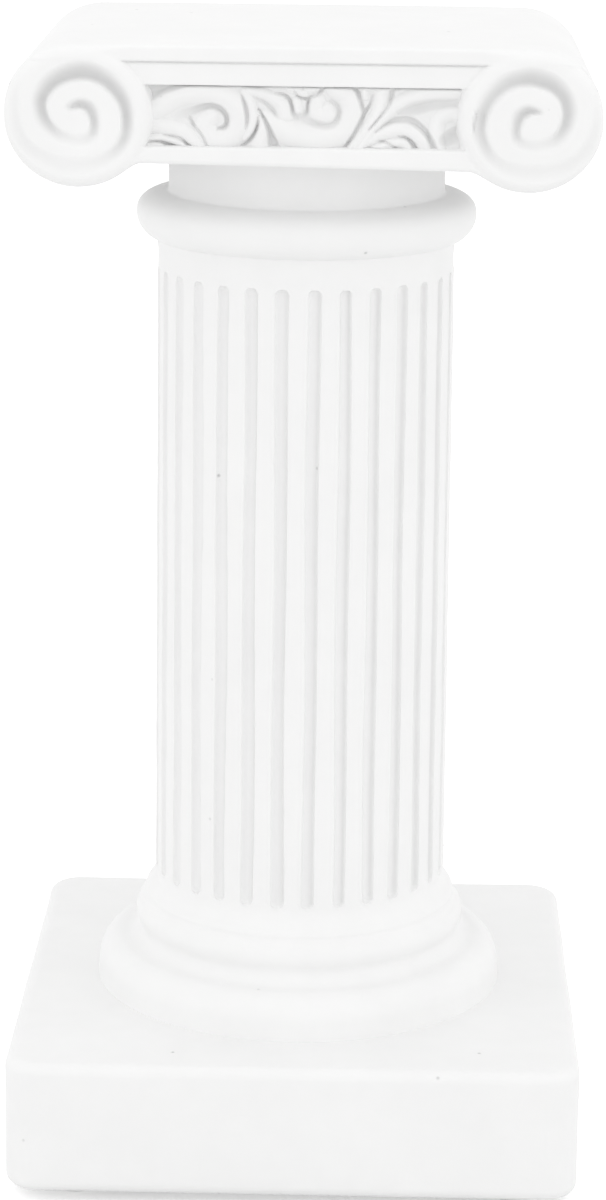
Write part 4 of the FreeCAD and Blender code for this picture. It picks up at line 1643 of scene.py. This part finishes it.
@dataclass
class ReliefStrip:
    """A strip of carved leaf scrolls between the two scrolls of the capital.

    Attributes:
        node: The CAD node that it stands for.
        turned_round: Whether it faces the rear.
        ground: How far behind the most forward place the ground lies.
        swell: How many times their listed height the rolls rise.
        bite: How many times their listed depth the cuts sink.
        thinnest: The least thickness left under the deepest cut.
        sunk_end: How far from each end its height falls off.
        end_floor: The share of its height that is left there.
        sunk_edge: How far from its upper edge it falls off.
        edge_floor: The share that is left there.
        dust_and_shade: How much painted shade lies all over it.
        cut_painted_shade: How much more for each millimetre of a cut's depth.
        deep_painted_shade: How much more, at the most, where it lies deep behind its most forward place.
        columns: Places across.
        rows: Places up.
    """

    node: str
    turned_round: bool
    ground: float = 1.05
    swell: float = 1.8
    bite: float = 0.85
    thinnest: float = 0.55
    sunk_end: float = 0.6
    end_floor: float = 0.85
    sunk_edge: float = 0.3
    edge_floor: float = 0.55
    dust_and_shade: float = 0.06
    cut_painted_shade: float = 0.36
    deep_painted_shade: float = 0.34
    columns: int = 400
    rows: int = 84

    def build(self, material: Material) -> None:
        """Makes the strip.

        Its front is the ground, plus the highest roll times the swell, less the deepest cut times
        the bite, kept between the least thickness and the most forward place. What it has over the
        least thickness shrinks along smooth steps at both ends and at the upper edge. Each loop runs
        up the front and down the flat back, and a loop shrunk to a point closes each end.

        Args:
            material: The casting's finish.
        """
        box = CadBox.of(self.node)
        half_width, thickness = box.size[0] / 2, box.size[1]
        x = np.linspace(-half_width, half_width, self.columns)[:, None]
        z = np.linspace(box.low[2], box.high[2], self.rows)[None]
        place_x, place_z = np.broadcast_arrays(x, z - box.centre[2])
        rolls, cuts = highest(ROLLS, place_x, place_z), self.bite * highest(CUTS, place_x, place_z)
        relief = thickness - self.ground + self.swell * rolls - cuts
        edge_x = smooth_step(0, self.sunk_end, half_width - np.abs(place_x))
        edge_x = self.end_floor + (1 - self.end_floor) * edge_x
        edge_z = smooth_step(0, self.sunk_edge, box.size[2] / 2 - place_z)
        edge_z = self.edge_floor + (1 - self.edge_floor) * edge_z
        over = np.clip(relief, self.thinnest, thickness) - self.thinnest
        relief = self.thinnest + over * edge_x * edge_z
        back = np.zeros((self.columns, 2))
        forward = np.hstack([relief, back])
        height = np.hstack([np.broadcast_to(z, relief.shape), back + [box.high[2], box.low[2]]])
        grid = np.stack([np.broadcast_to(x, forward.shape), forward, height], axis=-1)
        # Painted shade: darker in the cuts and where the relief lies deep.
        sunk = (thickness - relief) / (thickness - self.thinnest)
        deep = self.deep_painted_shade * smooth_step(0.4, 1.0, sunk)
        recess = np.hstack([self.dust_and_shade + np.maximum(self.cut_painted_shade * cuts, deep), back])
        ends = [np.broadcast_to(grid[k].mean(axis=0), grid[k].shape)[None] for k in (0, -1)]
        grid = np.concatenate([ends[0], grid, ends[1]])
        recess = np.pad(recess, ((1, 1), (0, 0)))
        away = 1.0 if self.turned_round else -1.0
        base = box.low[1] if self.turned_round else box.high[1]
        grid = grid * [-away, away, 1.0] + [0.0, base, 0.0]
        piece = make_piece(self.node + "_carving", grid, recess)
        hand_over(piece, self.node, material)


# ================================================================ rod and its fixings
@dataclass
class TieRod:
    """The threaded rod that draws the castings together, with insert, washer and nut.

    Attributes:
        radius: The rod's radius.
        pitch: The thread's pitch.
        thread_depth: The thread's depth.
        threaded: Length of the thread at each end.
        run_out: Length over which the thread fades.
        tip: Height and width of the cone at each tip.
        play: How much wider the nut's and the insert's holes are, in radius.
        washer_hole: Radius of the washer's hole.
        washer_edge: Radius of its edges.
        across_flats: The nut's width.
        cone_step: How far inside its flats the nut's end cones start.
        chamfer_slope: How steep those cones are.
        nut_thread: The share of the thread's depth that the nut's hole shows.
        knurls: Ridges round the insert.
        knurl_depth: Their depth.
        knurl_lean: How far they lean, as a slope.
        insert_edge: How far the insert draws in at its ends.
    """

    radius: float = 3.0
    pitch: float = 1.0
    thread_depth: float = 0.5
    threaded: float = 16.0
    run_out: float = 1.5
    tip: float = 0.8
    play: float = 0.05
    washer_hole: float = 3.2
    washer_edge: float = 0.25
    across_flats: float = 10.0
    cone_step: float = 0.15
    chamfer_slope: float = 0.55
    nut_thread: float = 0.1
    knurls: int = 24
    knurl_depth: float = 0.35
    knurl_lean: float = 0.5
    insert_edge: float = 0.3

    def thread(self, angles: np.ndarray, height: np.ndarray) -> np.ndarray:
        """How deep in the thread each place lies, from 0 at a crest to 1 at a root.

        The place's height less its share of a turn, in pitches, runs up and down a rounded
        triangle wave.

        Args:
            angles: Angles round.
            height: Heights.

        Returns:
            The share of the depth.
        """
        phase = height / self.pitch - angles / FULL_TURN
        wave = np.abs(2 * (phase - np.floor(phase)) - 1)
        return smooth_step(0.08, 0.92, wave)

    def rod(self, material: Material) -> None:
        """Makes the rod: threaded at both ends and plain between, with a small cone at each tip.

        Args:
            material: Zinc.
        """
        box = CadBox.of("tie_rod")
        foot, top = box.low[2], box.high[2]
        ends = np.linspace(0, self.threaded, 145)
        plain = np.linspace(foot + self.threaded, top - self.threaded, 24)[1:-1]
        height = np.concatenate([foot + ends, plain, top - ends[::-1]])[:, None]
        angles = np.linspace(0, FULL_TURN, 40, endpoint=False)
        from_end = np.minimum(height - foot, top - height)
        fade = 1 - smooth_step(self.threaded - self.run_out, self.threaded, from_end)
        depth = self.thread(angles, height) * fade
        tip = np.clip(self.tip - from_end, 0, self.tip)
        radius = np.minimum(self.radius - self.thread_depth * depth, self.radius - tip)
        pole = np.zeros((1, len(angles)))
        radius = np.vstack([pole, radius, pole])
        height = np.vstack([[foot], height, [top]])
        grid = ring_grid(radius, angles, height)
        # Darker colour in the thread's roots.
        hollow_darkening = 0.8 * depth
        piece = make_piece("tie_rod_threaded", grid, np.pad(hollow_darkening, ((1, 1), (0, 0))))
        hand_over(piece, "tie_rod", material)

    def washer(self, material: Material) -> None:
        """Makes the washer: a closed outline with round edges, turned.

        Args:
            material: Zinc.
        """
        box = CadBox.of("rod_washer")
        low, high = box.low[2], box.high[2]
        outer, edge = box.size[0] / 2, self.washer_edge
        sines, cosines = quarter_arc(5)
        upper = np.stack([outer - edge + edge * sines, high - edge + edge * cosines], axis=-1)
        lower = np.stack([outer - edge + edge * cosines, low + edge - edge * sines], axis=-1)
        hole = [[self.washer_hole, low], [self.washer_hole, high]]
        grid = turned(np.vstack([hole, upper, lower]), 96)
        piece = make_piece("rod_washer_turned", grid, ring=True)
        hand_over(piece, "rod_washer", material)

    def nut(self, material: Material) -> None:
        """Makes the nut: six flats whose corners are cut back by a cone at each end, and a threaded hole.

        A flat's radius is half the width over flats divided by the cosine of the angle from its
        middle, and the cone's radius grows with the distance from the nearer end.

        Args:
            material: Zinc.
        """
        box = CadBox.of("rod_nut")
        low, high = box.low[2], box.high[2]
        coned = 0.8  # the height that has the closer rings
        rise = np.concatenate([np.linspace(0, coned, 7), np.linspace(coned, (high - low) / 2, 4)[1:]])
        height = np.concatenate([low + rise, high - rise[-2::-1]])[:, None]
        angles = np.linspace(0, FULL_TURN, 120, endpoint=False)
        half_flat = math.pi / 6
        from_flat = (angles + half_flat) % (2 * half_flat) - half_flat
        flats = self.across_flats / 2 / np.cos(from_flat)
        from_end = np.minimum(height - low, high - height)
        cone = self.across_flats / 2 - self.cone_step + from_end / self.chamfer_slope
        outer = np.minimum(flats, cone)
        hole_height = np.linspace(high, low, 41)[:, None]
        hole_depth = self.thread(angles, hole_height)
        hole = self.radius + self.play - self.thread_depth * self.nut_thread * hole_depth
        grid = np.concatenate([ring_grid(outer, angles, height), ring_grid(hole, angles, hole_height)])
        # Darker colour in the roots of the hole's thread.
        recess = np.concatenate([np.zeros(outer.shape), hole_depth])
        piece = make_piece("rod_nut_hexagon", grid, recess, ring=True)
        hand_over(piece, "rod_nut", material)

    def insert(self, material: Material) -> None:
        """Makes the insert: a sleeve with crossed knurls outside and a smooth hole.

        The knurls' depth is the product of two rounded waves that lean opposite ways.

        Args:
            material: Brass.
        """
        box = CadBox.of("rod_insert")
        low, high = box.low[2], box.high[2]
        height = np.linspace(low, high, 73)[:, None]
        angles = np.linspace(0, FULL_TURN, 192, endpoint=False)
        lean = self.knurl_lean * self.knurls * (height - low) / (box.size[0] / 2)
        depth = np.abs(np.sin(self.knurls / 2 * angles + lean) * np.sin(self.knurls / 2 * angles - lean))
        smooth_ends = smooth_step(0.0, 1.0, np.minimum(height - low, high - height))
        drawn_in = self.knurl_depth * depth * smooth_ends + self.insert_edge * (1 - smooth_ends)
        outer = box.size[0] / 2 - drawn_in
        hole = np.full((1, len(angles)), self.radius + self.play)
        grid = np.concatenate([
            ring_grid(outer, angles, height),
            ring_grid(hole, angles, high),
            ring_grid(hole, angles, low),
        ])
        recess = np.vstack([depth * smooth_ends, hole * 0, hole * 0])
        piece = make_piece("rod_insert_knurled", grid, recess, ring=True)
        hand_over(piece, "rod_insert", material)

    def build(self, zinc: Material, brass: Material) -> None:
        """Makes the four pieces.

        Args:
            zinc: The steel pieces' finish.
            brass: The insert's finish.
        """
        self.rod(zinc)
        self.washer(zinc)
        self.nut(zinc)
        self.insert(brass)


@dataclass
class FootPads:
    """The four stick-on pads: a low disc with a round rim and a dished underside, under an adhesive film.

    Attributes:
        rim: Radius of the lower rim.
        film: Thickness of the film.
        film_step: How far the film lies inside the pad's side.
        dish: The underside, as shares of the pad's radius and heights, from its middle out.
        hollow_darkening: How much darker the colour is at the rim of the film.
    """

    rim: float = 0.5
    film: float = 0.2
    film_step: float = 0.25
    dish: tuple = ((0.0, 0.12), (0.55, 0.1), (0.8, 0.0))
    hollow_darkening: float = 0.8

    def build(self, material: Material) -> None:
        """Makes a pad for each pad node.

        Args:
            material: Rubber.
        """
        sines, cosines = quarter_arc(8)
        for node in sorted(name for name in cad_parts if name.startswith("foot_pad_")):
            box = CadBox.of(node)
            outer, high = box.size[0] / 2, box.high[2]
            side = np.array([[outer, high - self.film], [outer - self.film_step, high - self.film],
                             [outer - self.film_step, high], [0.0, high]])
            rim_z = box.low[2] + self.rim * (1 - cosines)
            rim = np.stack([outer - self.rim + self.rim * sines, rim_z], axis=-1)
            dish = np.array(self.dish) * [outer, 1.0] + [0.0, box.low[2]]
            outline = np.vstack([dish, rim, side])
            grid = turned(outline, 72) + [box.centre[0], box.centre[1], 0.0]
            recess = np.zeros(grid.shape[:2])
            # Darker colour at the rim of the film.
            recess[-4:-1] = self.hollow_darkening
            piece = make_piece(node + "_bumper", grid, recess)
            hand_over(piece, node, material)


# ================================================================ studio
@dataclass(frozen=True)
class SoftBox:
    """A square lamp that points at the object.

    Attributes:
        name: Its name.
        place: Where it stands, in metres.
        side: Its side, in metres.
        power: Its power, in watts.
    """

    name: str
    place: tuple[float, float, float]
    side: float
    power: float

    def light(self, target: Vector) -> None:
        """Sets the lamp up.

        Args:
            target: Where it points.
        """
        data = bpy.data.lights.new(self.name, "AREA")
        data.energy, data.size = self.power, self.side
        lamp = bpy.data.objects.new(self.name, data)
        lamp.location = self.place
        lamp.rotation_euler = (target - Vector(self.place)).to_track_quat("-Z", "Y").to_euler()
        bpy.context.scene.collection.objects.link(lamp)


@dataclass
class Studio:
    """The camera, the soft light and the white floor.

    Attributes:
        eye: Where the camera stands, in millimetres.
        yaw: Degrees that it looks to the left of straight ahead.
        dip: Degrees that it looks down.
        roll: Degrees that it leans.
        focal_pixels: Its focal length in pixels of a picture 1200 high.
        picture_height: That picture's height in pixels.
        sensor: The sensor's longer side, in millimetres.
        horizon: Strength of the light from low down.
        horizon_reach: The sine of the height at which it has faded to the zenith's.
        zenith: Strength of the light from straight above.
        boxes: The lamps.
        floor_radius: The floor's reach, in metres.
        floor_color: The floor's grey under the light.
        floor_glow: How much of its white the camera sees without light.
    """

    eye: tuple[float, float, float] = (12.817, -628.018, 264.407)
    yaw: float = 1.158
    dip: float = 14.978
    roll: float = 0.632
    focal_pixels: float = 3607.2
    picture_height: float = 1200.0
    sensor: float = 36.0
    horizon: float = 1.15
    horizon_reach: float = 0.6
    zenith: float = 0.97
    boxes: tuple[SoftBox, ...] = (
        SoftBox("front_softbox", (0.6, -1.1, 0.3), 0.9, 0.35),
        SoftBox("left_softbox", (-1.0, -0.5, 0.25), 0.6, 0.75),
        SoftBox("right_softbox", (1.0, -0.5, 0.25), 0.6, 0.62),
        SoftBox("top_softbox", (0.0, -0.1, 1.1), 0.8, 0.9),
    )
    floor_radius: float = 2.5
    floor_color: float = 0.86
    floor_glow: float = 0.4

    def camera(self) -> None:
        """Sets the camera up from its three angles.

        Its axes start level, looking along +Y, and turn by the yaw, the dip and the roll.
        """
        yaw, dip, roll = (math.radians(angle) for angle in (self.yaw, self.dip, self.roll))
        ahead = Vector((-math.sin(yaw) * math.cos(dip), math.cos(yaw) * math.cos(dip), -math.sin(dip)))
        level = Vector((math.cos(yaw), math.sin(yaw), 0))
        upright = level.cross(ahead)
        right = level * math.cos(roll) + upright * math.sin(roll)
        up = upright * math.cos(roll) - level * math.sin(roll)
        data = bpy.data.cameras.new("portrait_camera")
        data.sensor_width = self.sensor
        data.lens = self.sensor * self.focal_pixels / self.picture_height
        data.clip_start = 0.01
        camera = bpy.data.objects.new("portrait_camera", data)
        turn = Matrix((right, up, -ahead)).transposed().to_4x4()
        camera.matrix_world = Matrix.Translation(Vector(self.eye) * MM) @ turn
        bpy.context.scene.collection.objects.link(camera)
        bpy.context.scene.camera = camera

    def seen_share(self, board: Board) -> Socket:
        """1 for rays from the camera, from gloss and through glass, and 0 for those that only light.

        Args:
            board: Where it is laid out.

        Returns:
            Its output.
        """
        path = board.add("ShaderNodeLightPath").outputs
        glossy = board.math("MAXIMUM", path["Is Camera Ray"], path["Is Glossy Ray"])
        return board.math("MAXIMUM", glossy, path["Is Transmission Ray"])

    def sky(self) -> None:
        """Sets up the soft light from all round, brighter low down, and plain white to the camera."""
        world = bpy.data.worlds.new("white_tent")
        world.use_nodes = True
        bpy.context.scene.world = world
        board = Board(world.node_tree)
        background = next(node for node in world.node_tree.nodes if node.type == "BACKGROUND")
        background.inputs["Color"].default_value = WHITE
        way = board.add("ShaderNodeTexCoord").outputs["Generated"]
        rise = board.add("ShaderNodeSeparateXYZ", {0: way}).outputs["Z"]
        light = board.scaled(rise, 0.0, self.horizon_reach, self.horizon, self.zenith)
        missing = board.math("SUBTRACT", 1.0, light)
        strength = board.math("MULTIPLY_ADD", self.seen_share(board), missing, light)
        world.node_tree.links.new(strength, background.inputs["Strength"])

    def floor(self) -> None:
        """Lays the floor: a wide round sheet that glows white to the camera and keeps the shadow."""
        angles = np.linspace(0, FULL_TURN, 64, endpoint=False)
        rim = ring_grid(np.full_like(angles, self.floor_radius), angles, 0.0)
        mesh = bpy.data.meshes.new("studio_floor")
        mesh.from_pydata(rim.tolist(), [], [list(range(len(rim)))])
        floor = bpy.data.objects.new("studio_floor", mesh)
        bpy.context.scene.collection.objects.link(floor)
        material = bpy.data.materials.new("studio_floor_paper")
        material.use_nodes = True
        board = Board(material.node_tree)
        shader = next(node for node in material.node_tree.nodes if node.type == "BSDF_PRINCIPLED")
        shader.inputs["Base Color"].default_value = (*(self.floor_color,) * 3, 1.0)
        shader.inputs["Roughness"].default_value = 0.9
        shader.inputs["Specular IOR Level"].default_value = 0.0
        shader.inputs["Emission Color"].default_value = WHITE
        glow = board.math("MULTIPLY", self.seen_share(board), self.floor_glow)
        board.tree.links.new(glow, shader.inputs["Emission Strength"])
        mesh.materials.append(material)

    def build(self) -> None:
        """Sets everything up, with plain colours in the picture."""
        bpy.context.scene.view_settings.view_transform = "Standard"
        self.camera()
        self.sky()
        self.floor()
        low, high = cad_bounds
        target = (low + high) / 2
        for box in self.boxes:
            box.light(target)


def main() -> None:
    """Builds the studio and dresses the stand from the ground up."""
    logging.basicConfig(level=logging.INFO, format="%(message)s")
    Studio().build()
    effects = Effects()
    white = WhiteCasting().build(effects)
    zinc = ZincSteel().build(effects)
    brass = InsertBrass().build(effects)
    rubber = PadRubber().build(effects)
    plinth_top = CadBox.of("plinth").high[2]
    shaft = CadBox.of("fluted_shaft")
    collar_top = CadBox.of("collar").high[2]
    FootPads().build(rubber)
    Plinth().build(white)
    BaseMoulding(plinth_top, shaft.low[2]).build(white)
    FlutedShaft(shaft.low[2], shaft.high[2]).build(white)
    Collar(shaft.high[2], collar_top).build(white)
    capital = ScrollCapital()
    Neck(collar_top, capital.seat + capital.rail_slant).build(white)
    capital.build(white)
    ReliefStrip("relief_strip_front", turned_round=False).build(white)
    ReliefStrip("relief_strip_rear", turned_round=True).build(white)
    TieRod().build(zinc, brass)


if __name__ == "__main__":
    main()
